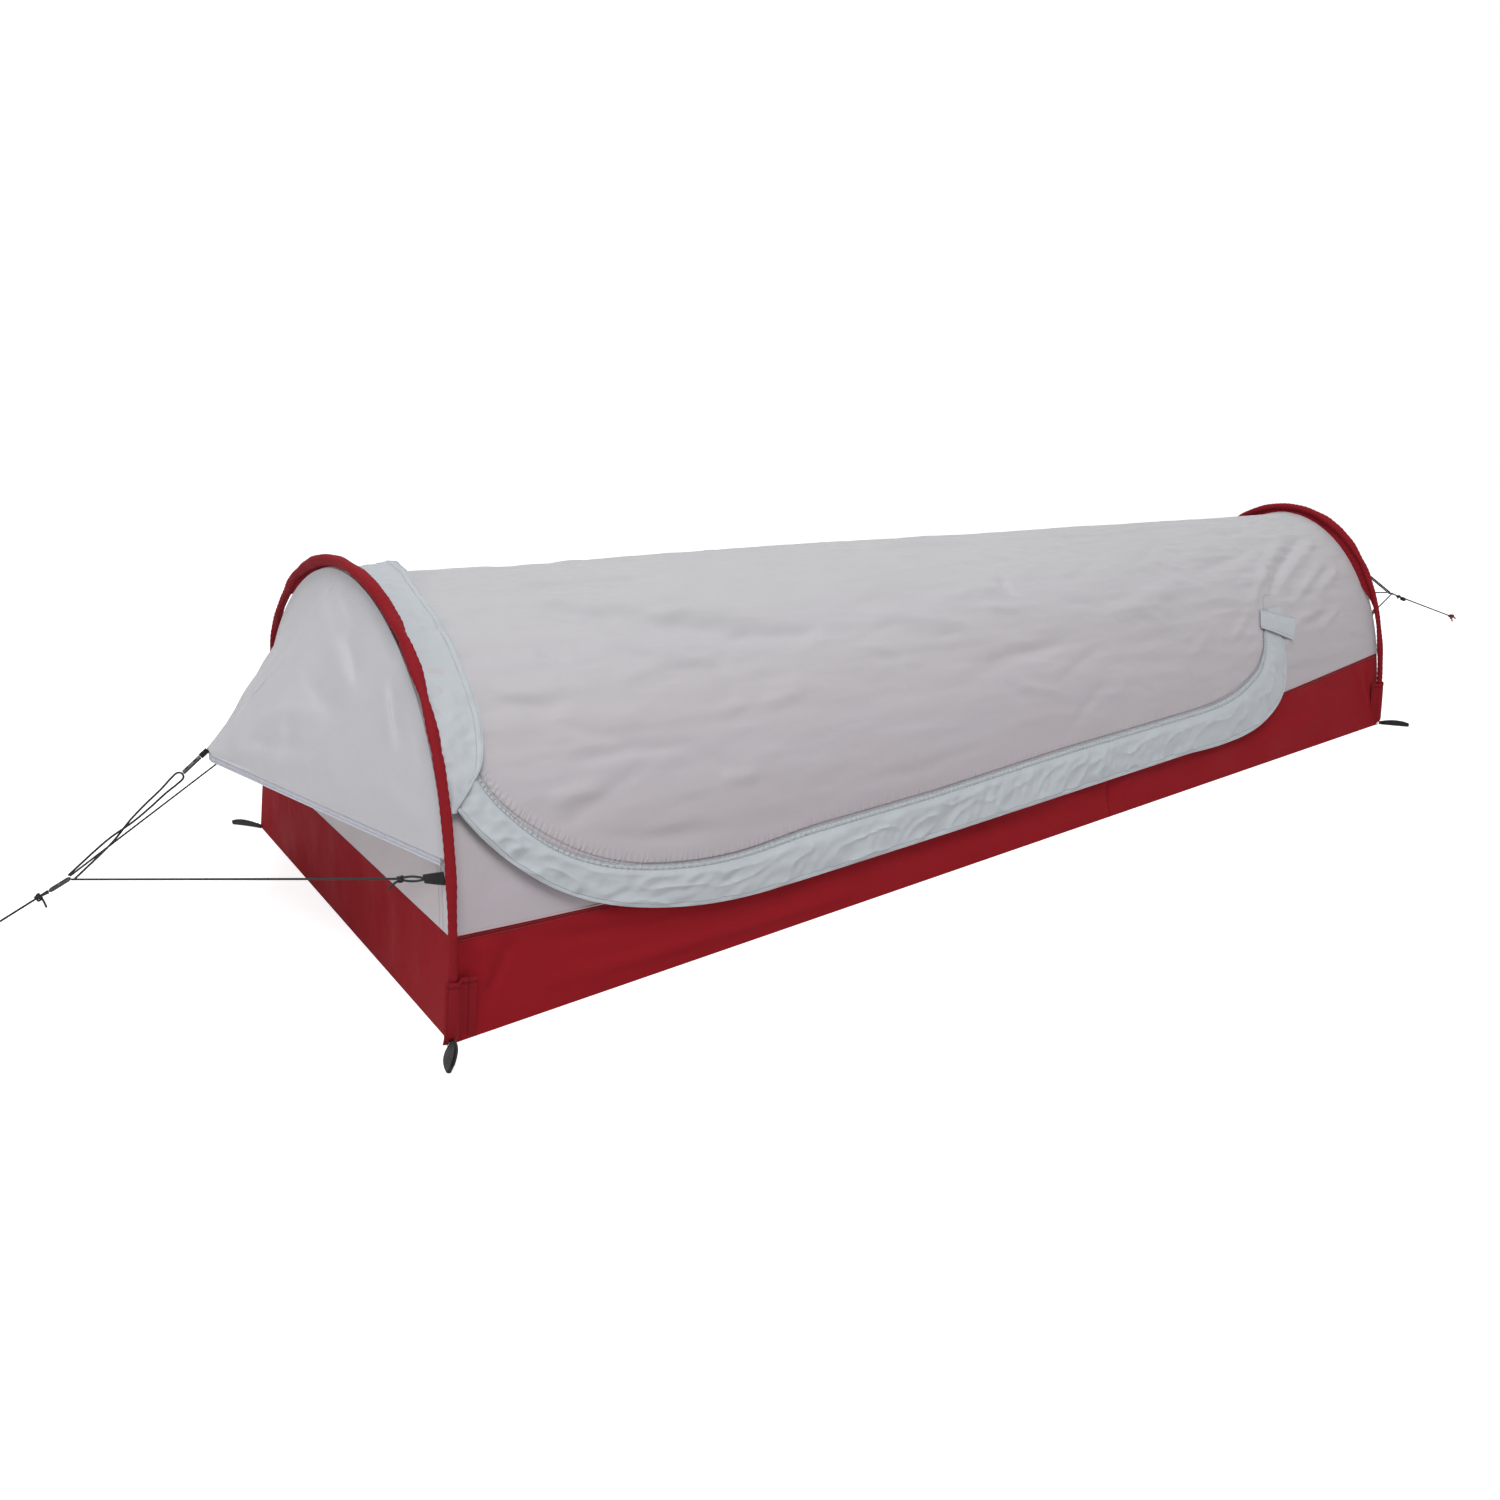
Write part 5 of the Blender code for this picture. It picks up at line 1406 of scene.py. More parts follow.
def make_webbing_fold(name, root, way, length, widths, thickness, node):
    """A strip of webbing folded back on itself, which a cord passes through."""
    level, upright = square_pair(way)
    half = (thickness - FOLDED_LAYER) / 2
    turn = np.linspace(-pi / 2, pi / 2, 9)
    leg = np.linspace(0, length - half, 16)
    x = np.concatenate((leg[:-1], length - half + half * np.cos(turn), leg[-2::-1]))
    y = np.concatenate((np.full(15, -half), half * np.sin(turn), np.full(15, half)))
    y = y * (1 + 0.5 * np.sin(pi * np.clip(x / length, 0, 1)) ** 2)
    across = np.linspace(-1, 1, 9)[:, None] * mix(*widths, x / length) / 2
    table = placed(root, (way, x[None]), (level, y[None]), (upright, across))
    mesh = laid_grid(name, table, inside=root + way * length * 0.5)
    add_piece(name, mesh, "webbing", node, thickness=FOLDED_LAYER)


def make_guy_tabs():
    """Webbing at both ends that the guy lines are tied to."""
    for end in END_SHARE:
        for word, side in SIDES.items():
            root, way = tab_root(end, side)
            make_webbing_fold(f"{end}_{word}_tab_webbing", root, way, TAB_LENGTH[end], TAB_WIDTHS, 0.0030,
                              f"guy_tab_{end}_{word}")
    for end, node, length, width, fitting in (
            ("head", "hood_tip_loop", HOOD_LOOP_LENGTH, HOOD_LOOP_WIDTH, hood_tip_fitting),
            ("foot", "foot_peak_loop", PEAK_LOOP_LENGTH, PEAK_LOOP_WIDTH, foot_peak_fitting)):
        low = ring_edge(end, -1)
        _, strap = fitting(low)
        way = unit(low - strap)
        root = strap - way * length / 2
        make_webbing_fold(f"{node}_webbing", root, way, length, (width, width), 0.0026, node)
    for node in ("foot_line_ring", "hood_tip_buckle"):
        dress_node(node, "plastic")


# Floor tray

def floor_flare(z):
    """How far the walls spread at their foot."""
    spread_out, height = FLOOR_FLARE
    return spread_out * np.clip(1 - z / height, 0, 1) ** 1.5


def corner_fin(z, s, share):
    """How far the far head corner is drawn out by its pole pocket, at a share across the end."""
    tall = CORNER_FIN * (1 - np.clip(z / wall_height(0.0), 0, 1) ** 3)
    return tall * eased(0.0, CORNER_FIN_REACH, CORNER_FIN_REACH - s) * eased(0.55, 1.0, share)


def wall_angle(along, over=0.0):
    """The arch angle of the walls' upper edge, or of a line over it."""
    return angle_at_height(along, wall_height(along) + over)


def wall_surface(s, share):
    """A long wall's near skin, from its own coordinates."""
    along = share_along(s - LENGTH / 2, 0.06)
    return body_skin(along, wall_angle(along) * share)


def make_long_wall(word):
    """A long red wall, with its folds, its rolled lower edge, its stitches and its seam's binding."""
    near = word == "near"
    u, v = spread(420, 30)
    along = station(u)
    angle = wall_angle(along) * v
    plain = body_skin(along, angle)
    s = plain[..., 0] + LENGTH / 2
    folds = WALL_FOLDS
    if not near:
        folds = [(height, width, [(LENGTH - a, b) for a, b in line]) for height, width, line in WALL_FOLDS]
    rise = fold_rise(plain, folds, wall_surface)
    rise = rise + 0.0014 * grain(plain * (1.0, 1.0, 1.6), 11.0, 2 if near else 5)
    rise = rise + 0.0005 * grain(plain, 38.0, 3 if near else 6)
    fade = within(v, 0.10, 0.08) * within(s, 0.012, 0.012, LENGTH)
    table = body_skin(along, angle, rise * fade - WALL_ROLL)
    table[..., 1] -= floor_flare(table[..., 2])
    table[..., 2] = np.maximum(table[..., 2], 0.0)
    table = on_side(word, table)
    if not near:
        table[..., 1] += corner_fin(table[..., 2], s, 1.0)
    add_sheet(f"{word}_wall", table, "wall", f"wall_{word}")
    edge = station(np.linspace(0, 1, 700))
    for row, drop in WALL_STITCHES:
        angle = wall_angle(edge, -drop)
        low, high = (on_side(word, body_skin(edge, angle, proud)) for proud in (-0.0002, 0.0008))
        thread(f"{word}_wall_{row}_stitches", low, (high - low) / 0.001, "red_thread")
    edge = station(np.linspace(0, 1, 400))
    seam = on_side(word, body_skin(edge, wall_angle(edge, BINDING_LIFT), 0.0002))
    tube(f"{word}_wall_binding", seam, BINDING_RADIUS, "binding", sides=6)


def end_table(end, low, high, columns, rows, bulge, clear=PANEL_CLEAR):
    """Points of a flat end panel between two arch angles, with a slight swell and soft folds."""
    along, outwards = END_SHARE[end], -INWARDS[end]
    u, v = spread(columns, rows)
    half = floor_half_width(along) - clear
    edge, z = arch(half, ridge_height(along) - clear, BODY_ACROSS, BODY_UP, mix(low, high, v))
    table = np.stack((end_plane(along, z), mix(edge, -edge, u) * (1 + floor_flare(z) / half), z), -1)
    rise = grain(table * (1.0, 1.0, 0.35), 16.0, 11 + 3 * outwards) + 0.3 * grain(table, 55.0, 12)
    rise = bulge * rise
    table[..., 0] += outwards * rise * within(u, 0.12, 0.12) * within(v, 0.15, 0.10)
    return table


def make_end_wall(end):
    """A short red wall across one end."""
    table = end_table(end, 0.0, wall_angle(END_SHARE[end]), 150, 28, 0.0024, WALL_CLEAR)
    if end == "head":
        table[..., 1] += corner_fin(table[..., 2], 0.0, np.linspace(0, 1, 151))
    add_sheet(f"{end}_end_wall", table, "red", f"wall_{end}")


def make_groundsheet():
    """The tapered groundsheet, with faint creases from packing."""
    u, v = spread(160, 60)
    x = (LENGTH / 2 - PANEL_CLEAR) * (2 * u - 1)
    y = (floor_half_width(u) + FLOOR_FLARE[0] - WALL_CLEAR) * (2 * v - 1) + corner_fin(0.0, x + LENGTH / 2, v)
    table = np.stack((x, y, np.zeros_like(x)), -1)
    creases = np.exp(-((u * 6 % 1 - 0.5) / 0.01) ** 2) + np.exp(-((v * 3 % 1 - 0.5) / 0.02) ** 2)
    wrinkles = 0.0010 * creases + 0.0012 * np.abs(grain(table, 7.0, 21))
    table[..., 2] = FLOOR_HEIGHT + within(u, 0.05, 0.05) * within(v, 0.08, 0.08) * wrinkles
    add_sheet("groundsheet_cloth", table, "red", "groundsheet", inside=(0, 0, -1))


def make_pocket(end, word):
    """A red cloth pocket on the wall that holds a pole's foot."""
    path = hoop_path(end)
    foot = path[0 if word == "near" else -1]
    u, v = spread(44, 40)
    z = mix(POCKET_BASE, POCKET_HEIGHT[end] - POCKET_SLANT * u, v)
    across = mix(POCKET_BACK, POCKET_REACH[end], u)
    x = foot[0] + INWARDS[end] * (HOOP_LEAN * (z - foot[2]) + across)
    half = len(path) // 2
    out = np.interp(z, path[:half, 2], np.abs(path[:half, 1]))
    bulge = np.exp(-(across / POCKET_BULGE) ** 4) * eased(-0.10, 0.16, v)
    ripple = 0.0007 * np.sin(across * 900 + 6 * v) * np.exp(-((across - 0.012) / 0.006) ** 2)
    ripple = ripple * eased(0.3, 1.0, v)
    hem = BAND_HEM * np.exp(-((v - 0.955) / 0.03) ** 2)
    y = SIDES[word] * (mix(out + POCKET_FLAT, out + POCKET_PEAK, bulge) + ripple + hem)
    mesh = laid_grid(f"{end}_{word}_pocket", np.stack((x, y, z), -1))
    add_piece(f"{end}_{word}_pocket", mesh, "pocket", f"pole_pocket_{end}_{word}", thickness=POCKET_CLOTH)


# Canopy and door

def canopy_rise(plain, s, q, word):
    """How far folds, slack and puckers lift the canopy's cloth off its smooth skin."""
    near = word == "near"
    folds = NEAR_FOLDS if near else FAR_FOLDS
    folds = folds + crumples(41 if near else 42, 120, (0.12, 2.15), (0.20, 0.93))
    rise = fold_rise(plain, folds, lambda at, share: skin_at(at, share * pi / 2))
    rise = rise * bpy.context.scene.shelter_cloth.fold_scale
    slant = np.stack((s + 0.5 * q, q * 1.6, np.zeros_like(s)), -1)
    rise = rise + 0.0030 * grain(slant, (2.2, 3.2, 1.0), 1 if near else 4)
    rise = rise + 0.0024 * grain(slant, (7.0, 20.0, 1.0), 7 if near else 8)
    rise = rise + 0.0010 * grain(slant, (22.0, 60.0, 1.0), 9)
    fade = within(s - 0.05, 0.02, 0.03, LENGTH - 0.10) * eased(0, 0.03, 1 - q)
    sag = RIDGE_SAG * np.exp(-((s - RIDGE_SAG_PLACE) / RIDGE_SAG_REACH) ** 2) * eased(0.6, 1.0, q)
    return rise * fade - sag * eased(0.05, 0.12, s)


def clear_of_flap(s, z):
    """1 where the folds may stand, and 0 under the storm flap, where the cloth lies flat."""
    _, out = zip_coordinates(s, z)
    return np.clip(eased(0.020, 0.055, np.abs(out + 0.002)) + eased(0.030, 0.048, out), 0, 1)


def map_beside_flap(piece):
    """Write a piece's seam map in metres along the storm flap's inner edge and beyond it."""
    mesh = piece.data
    spots = np.empty(len(mesh.vertices) * 3, dtype=np.float32)
    mesh.vertices.foreach_get("co", spots)
    length, out = zip_coordinates(spots[0::3] + LENGTH / 2, spots[2::3])
    beside = out - along_table(FLAP_EDGES, 1, length / steps_along(zip_route(DOOR_START_ANGLE, 0.0))[-1])
    places = np.stack((length, beside, np.zeros(len(out))), 1)
    mesh.attributes["seam_map"].data.foreach_set("vector", places.astype(np.float32).ravel())


def canopy_grid(columns, rows):
    """One side of the canopy as a grid: shares up it and along it, arch angles and points."""
    u, v = spread(columns, rows)
    along = station(u)
    ridge = np.arccos((GAP / floor_half_width(along)) ** (BODY_ACROSS / 2))
    angle = mix(wall_angle(along, SEAM), ridge, v)
    return v, along, angle, body_skin(along, angle)


def folded_canopy(word, v, along, angle, plain):
    """The points of one side of the canopy, with its folds."""
    s = plain[..., 0] + LENGTH / 2
    rise = canopy_rise(plain, s, angle / (pi / 2), word) * eased(0, 0.05, v)
    if word == "near":
        rise = rise * clear_of_flap(s, plain[..., 2])
    skin = body_skin(along, angle, rise)
    skin[..., 0] = plain[..., 0]
    return skin


def split_canopy(plain, along, angle):
    """Part the near side's grid at the door's edge, with its border points moved onto that edge."""
    flat = np.stack((plain[..., 0] + LENGTH / 2, plain[..., 2]), -1)
    keep, border = split_faces(flat, door_outline())
    border[-1] &= False
    snapped = nearest_on(flat[border], door_outline())
    high = flat[border][:, 1] > DOOR_SNAP_TOP
    s, z = snapped[:, 0], np.where(high, flat[border][:, 1], snapped[:, 1])
    new_along = share_along(s - LENGTH / 2, z)
    new_angle = np.where(z > DOOR_SNAP_TOP, angle[border], angle_at_height(new_along, z))
    along, angle = along.copy(), angle.copy()
    along[border], angle[border] = new_along, new_angle
    plain = body_skin(along, angle)
    for column in np.flatnonzero(split_faces(flat, door_outline())[1][-1]):
        below = plain[-2, column, 0]
        plain[-1, column, 0] = below
        along[-1, column] = share_along(below, plain[-1, column, 2])
    return keep, plain, along, angle


def make_near_canopy():
    """The near surround and the door leaf, which share the cloth's folds."""
    v, along, angle, plain = canopy_grid(440, 120)
    keep, plain, along, angle = split_canopy(plain, along, angle)
    skin = folded_canopy("near", v, along, angle, plain)
    strip = ~keep & (plain[:-1, :-1, 0] < DOOR_EDGE_ENDS - LENGTH / 2)
    thickness = bpy.context.scene.shelter_cloth.thickness
    edge = add_piece("near_door_edge", laid_grid("near_door_edge", skin, strip), "door", thickness=thickness)
    surround = add_sheet("near_canopy", skin, "door", "canopy_near", keep=~keep & ~strip)
    leaf = add_sheet("door_cloth", skin, "door", "door_leaf", DOOR_BEND, keep=keep)
    for piece in (edge, surround, leaf):
        map_beside_flap(piece)


def make_far_canopy():
    """The far half of the canopy."""
    skin = folded_canopy("far", *canopy_grid(360, 80))
    add_sheet("far_canopy", far_mirrored(skin), "canopy", "canopy_far")


def make_ridge_tape():
    """Cloth inside the ridge that joins the far half and the door leaf."""
    u, v = spread(150, 10)
    s = mix(*RIDGE_TAPE_REACH, u)
    angle = mix(pi / 2 - RIDGE_TAPE_ANGLE, pi / 2 - 0.001, v)
    halves = []
    for word in ("far", "near"):
        rise = canopy_rise(skin_at(s, angle), s, angle / (pi / 2), word)
        halves.append(on_side(word, skin_at(s, angle, rise - RIDGE_TAPE_DEPTH)))
    table = np.concatenate((halves[0], halves[1][::-1]))
    ends = [(0.0, side * RIDGE_TAPE_TURN, RIDGE_HEIGHT) for side in (1, -1)]
    add_sheet("ridge_tape", table, "canopy", body=("door", *ends), thickness=RIDGE_TAPE_CLOTH)


# Storm flap and zip

def behind_sleeve(z, clear):
    """Distance from the head end to a line behind the head sleeve, clear of it."""
    return HEAD_INSET + HOOP_LEAN * z + SLEEVE_RADIUS + clear


def flap_skin(u, v, proud=0.0):
    """The storm flap: u along the zip, v from its sewn inner edge to its free hem."""
    out = mix(along_table(FLAP_EDGES, 1, u), along_table(FLAP_EDGES, 2, u), v)
    x, z = zip_spot(u, out, mix(*FLAP_START_ANGLES, v))
    x = np.maximum(x, behind_sleeve(z, BAND_CLEAR_OF_SLEEVE))
    base = mix(FLAP_SEAM_PROUD, FLAP_PROUD * (1 - 0.78 * eased(0.90, 0.975, u)), eased(0, FLAP_RISE, v))
    length = u * FLAP_LENGTH
    puckers = 1 + 0.35 * np.sin(length * 2 * pi / FLAP_ROLL_PITCH)
    roll = FLAP_ROLL * np.exp(-((v - 0.055) / 0.035) ** 2) * puckers * (1 - eased(0.93, 0.97, u))
    slant = np.stack((length + v * 0.035, v * 0.07, np.zeros_like(length + v)), -1)
    slack = 0.0042 * grain(slant, (22.0, 26.0, 1.0), 31) + 0.0028 * grain(slant, (60.0, 58.0, 1.0), 32)
    crease = 0.0034 * (1 - 2.4 * np.abs(grain(slant + 4.0, (17.0, 30.0, 1.0), 33))).clip(0, 1) ** 3
    body = eased(0.12, 0.35, v) * eased(0.0, 0.12, 1.02 - v) * (1 - 0.75 * eased(0.91, 0.975, u))
    hem = BAND_HEM * eased(0.875, 0.90, v) * eased(0, 0.02, 1.0 - v)
    return near_side(x, z, base + roll + (slack + crease) * body + hem + proud)


def make_storm_flap():
    """The pale storm flap over the zip, with its stitching."""
    add_sheet("storm_flap", flap_skin(*spread(600, 32)), "flap", "door_storm_flap", DOOR_BEND)
    rows = (("inner", 0.022), ("second", 0.105), ("hem", 0.885), ("edge", 0.985))
    stitch_rows("flap", flap_skin, np.linspace(0, 1, 1400), rows, DOOR_BEND)


def tab_skin(u, v, proud=0.0):
    """The small end tab across the storm flap's top: u along the shelter, v downwards."""
    a, b, c, d = (np.array(corner) for corner in TAB_CORNERS)
    x, z = (mix(mix(a[k], b[k], u), mix(d[k], c[k], u), v) for k in (0, 1))
    rise = 0.0012 * grain(np.stack((x, z, np.zeros_like(x)), -1), (40.0, 55.0, 1.0), 35) * eased(0, 0.2, v)
    hem = BAND_HEM * eased(0.90, 0.93, v)
    over = eased(0.0, 0.45, v) * eased(0.0, 0.30, u) * eased(0.0, 0.15, 1.15 - u)
    return near_side(x, z, mix(TAB_SEAM_PROUD, TAB_PROUD, over) + rise + hem + proud)


def make_flap_tab():
    """The end tab, with its folded lower edge."""
    add_sheet("flap_tab", tab_skin(*spread(48, 26)), "tab", "storm_flap_tab", DOOR_BEND)
    stitch_rows("tab", tab_skin, np.linspace(0.02, 0.98, 60), (("top", 0.05), ("low", 0.91)), DOOR_BEND)


def tape_skin(out, u, proud=0.0):
    """A line of the zip tape at a distance outwards from the zip's middle."""
    x, z = zip_spot(u, out, ZIP_START_ANGLE)
    return near_side(np.maximum(x, behind_sleeve(z, BAND_CLEAR_OF_SLEEVE)), z, ZIP_PROUD + proud)


def make_zip():
    """Two zip tapes with their coils, and the sliders and pulls that run on them."""
    for word, body, turn in (("door", DOOR_BEND, -1), ("body", "tent", 1)):
        u, v = spread(420, 4)
        table = tape_skin(turn * mix(ZIP_EDGE, ZIP_EDGE + ZIP_WIDTH, v), u)
        add_sheet(f"zip_{word}_tape", table, "tape", f"zip_tape_{word}", body, thickness=ZIP_CLOTH)
        shares = np.linspace(0.002, 0.998, COIL_STOPS)
        wave = COIL_WAVE * np.cos(np.arange(COIL_STOPS) * pi / 2)
        coil = tape_skin(turn * (ZIP_EDGE + GAP + wave), shares, COIL_LIFT)
        tube(f"zip_{word}_coil", coil, COIL_RADIUS, "tape", body=body, sides=4)
    for node in ("zip_slider_foot", "zip_slider_head", "zip_pull_foot", "zip_pull_head"):
        dress_node(node, "plastic")


# Collar

def collar_skin(u, v, proud=0.0):
    """The collar band: u from its near end over the ridge, v from the sleeve to its hem."""
    low, high = angle_at_height(0.0, COLLAR_END_HEIGHT), pi - angle_at_height(0.0, COLLAR_FAR_HEIGHT)
    angle = mix(low, high, u)
    share = angle / (pi / 2)
    inner = behind_sleeve(RIDGE_HEIGHT * np.abs(np.sin(angle)) ** (2 / BODY_UP), COLLAR_CLEAR_OF_SLEEVE)
    outer = np.maximum(along_table(COLLAR_EDGE, 1, share), inner + 0.002)
    s, length = mix(inner, outer, v), u * COLLAR_LENGTH
    flat = np.stack((s * 1.2, length, np.zeros_like(s + u)), -1)
    slack = 0.0036 * grain(flat, (26.0, 20.0, 1.0), 51) + 0.0020 * grain(flat, (70.0, 55.0, 1.0), 52)
    gathers = 0.0005 * np.sin(length * 2 * pi / COLLAR_GATHER) * np.exp(-(v / 0.18) ** 2)
    hem = 0.0005 * eased(0.84, 0.87, v)
    over_flap = COLLAR_OVER_FLAP * eased(0.0, 0.16, 0.16 - u) * eased(0.0, 0.35, v)
    peak = COLLAR_PEAK_LIFT * np.exp(-((share - 1.0) / 0.10) ** 2) * v ** 1.5
    body = eased(0, 0.2, v) * eased(0, 0.1, 1.05 - v)
    return skin_at(s, angle, COLLAR_PROUD + slack * body + gathers + hem + over_flap + peak + proud)


def make_collar():
    """The pale band behind the head hoop, with a stitched hem."""
    add_sheet("collar_band", collar_skin(*spread(300, 30)), "collar", "collar_flap")
    rows = (("inner", 0.06), ("hem", 0.845), ("edge", 0.97))
    stitch_rows("collar", collar_skin, np.linspace(0.004, 0.996, 700), rows)


# Head and foot ends

def vent_outline(grown=0.0):
    """Rounded outline of the vent in the head panel, as (y, z)."""
    half, low, high = VENT_HALF_WIDTH + grown, VENT_BOTTOM - grown, VENT_TOP + grown
    angle = np.linspace(pi, 0, 60)
    y, z = half * np.cos(angle), low + VENT_CORNER + (high - low - VENT_CORNER) * np.sin(angle)
    return np.concatenate((np.array(((half, low), (-half, low))), np.stack((y, z), 1)))


def make_head_panel():
    """The grey head panel, with its net vent."""
    table = end_table("head", wall_angle(0.0, SEAM), pi / 2 - 0.02, 150, 90, 0.0016)
    inside, border = split_faces(table[..., 1:], vent_outline())
    table[border, 1:] = nearest_on(table[border, 1:], vent_outline())
    add_sheet("head_panel_cloth", table, "panel", "head_panel", keep=~inside)
    net = table + (NET_DEPTH, 0.0, 0.0)
    add_sheet("vent_net", net, "net", "head_vent_mesh", keep=inside, thickness=NET_THREAD)
    rim = vent_outline(VENT_STITCHES_OUT)
    y, z = respaced(np.concatenate((rim, rim[:1])), 500).T
    path = np.stack((end_plane(0.0, z) - 2 * GAP, y, z), 1)
    thread("vent_stitches", path, np.tile((-1.0, 0.0, 0.0), (len(path), 1)))


def make_foot_panel():
    """The grey foot panel."""
    table = end_table("foot", wall_angle(1.0, SEAM), pi / 2 - 0.02, 90, 60, 0.0022)
    add_sheet("foot_panel_cloth", table, "canopy", "foot_panel")


def hood_start(u):
    """The hood's sewn edge, between the sleeve and the seam of the canopy and the head panel."""
    u, low = np.asarray(u, dtype=float), hoop_angle(HOOD_LOW)
    angle = mix(low, pi - low, u)
    y, z = hoop_arch("head", angle)
    hoop = np.stack((-LENGTH / 2 + HEAD_INSET + HOOP_LEAN * z, y, z), -1)
    y, z = arch(floor_half_width(0.0), ridge_height(0.0) - 0.004, BODY_ACROSS, BODY_UP, angle)
    seam = np.stack((end_plane(0.0, z) - 0.004, y, z), -1)
    return mix(hoop, seam, mix(*HOOD_ON_SEAM, u)[..., None])


def hood_skin(u, v, proud=0.0):
    """The hood: u runs round the hoop, v from the hoop to the tip."""
    start = hood_start(u)
    side = -HOOD_TIP_WIDTH / 2 * np.cos(pi * u)
    rise = HOOD_TIP_WIDTH * 0.3 * (np.sin(pi * u) - 0.5)
    end = place(*HOOD_TIP) + np.stack((np.zeros_like(side), side, rise), -1)
    sag = HOOD_SAG * np.sin(pi * np.sqrt(v)) * np.sin(pi * u) * (1 + 1.2 * eased(0.42, 0.75, u))
    spots = start + (end - start) * np.asarray(v)[..., None]
    spots[..., 2] -= sag
    if np.any(proud):
        outwards = unit(spots - place(-0.05, 0.0, 0.16))
        spots = spots + outwards * np.asarray(proud)[..., None]
    return spots


def make_hood():
    """The hood drawn out from the hoop to its tip, its top seam and its hem."""
    u, v = spread(200, 90)
    plain = hood_skin(u, v)
    rise = fold_rise(plain, HOOD_FOLDS, hood_skin) * bpy.context.scene.shelter_cloth.fold_scale
    rise = rise + 0.0030 * grain(plain, 9.0, 61) + 0.0016 * grain(plain, 30.0, 62)
    rise = rise * within(u, 0.03, 0.03) * within(v, 0.05, 0.10)
    beside = (u - 0.5) * (1.02 - v) * HOOD_ROUND
    seam = HOOD_SEAM * np.exp(-(beside / HOOD_SEAM_WIDTH) ** 4) * eased(0, 0.03, v)
    add_sheet("hood_cloth", hood_skin(u, v, rise + seam), "hood", "head_hood", inside=(-LENGTH / 2, 0.0, 0.2))
    make_hood_hem()
    shares = np.linspace(0.03, 0.97, 300)
    for word, side in SIDES.items():
        beside = 0.5 + side * 0.0055 / (HOOD_ROUND * (1.02 - shares))
        path, normals = surface_line(hood_skin, beside, shares, 0.0010)
        thread(f"hood_seam_{word}_stitches", path, normals)


def make_hood_hem():
    """The double-stitched hem along the hood's lower edge, in one piece round its tip."""
    shares = np.linspace(0.02, 1.0, 90)
    near, far = (hood_skin(np.full_like(shares, u), shares) for u in (0.0, 1.0))
    row = respaced(np.concatenate((near, far[::-1])), 260)
    outwards = unit(np.cross(UP, unit(np.gradient(row, axis=0))))
    across = np.linspace(0, 1, 11)[:, None]
    wobble = 0.0006 * np.sin(steps_along(row) * 2 * pi / 0.017)[None] * np.sin(pi * across)
    belly = BAND_HEM * np.sin(pi * across) ** 0.6 + wobble
    drop = HOOD_HEM_DROP + across * HOOD_HEM_WIDTH
    table = row[None] - UP * drop[..., None] - outwards[None] * belly[..., None]
    add_sheet("hood_hem_band", table, "hem", "hood_hem", thickness=HOOD_HEM_CLOTH,
              inside=(-LENGTH / 2 + 0.1, 0.0, 0.2))
    for word, share in (("upper", 0.22), ("lower", 0.80)):
        path = row - UP * (HOOD_HEM_DROP + share * HOOD_HEM_WIDTH) - outwards * 0.0009
        thread(f"hood_hem_{word}_stitches", path, -outwards)


# Hoops

def hoop_shift(y, z):
    """How far the head hoop leans out of its solid at a place. Its far foot stays in its pocket."""
    return HEAD_HOOP_SHIFT * (1 - eased(0.0, 0.05, y) * (1 - eased(0.22, 0.40, z)))


def hoop_angle(z):
    """The hoops' arch angle at a height."""
    return float(np.arcsin((z / POLE_PEAK) ** (HOOP_UP / 2)))


def hoop_arch(end, angle):
    """Points (y, z) of a hoop at arch angles."""
    return arch(POLE_SPAN[end] / 2, POLE_PEAK, HOOP_ACROSS, HOOP_UP, angle)


def hoop_points(end, angle):
    """Points of a pole's centre line at arch angles."""
    y, z = hoop_arch(end, angle)
    reach = LENGTH / 2 - HOOP_INSET - HOOP_LEAN * z
    return np.stack((hoop_shift(y, z) - reach if end == "head" else reach, y, z), -1)


def hoop_path(end):
    """A pole's centre line from its near foot to its far foot."""
    low = hoop_angle(POLE_FOOT_HEIGHT)
    return hoop_points(end, np.linspace(low, pi - low, 721))


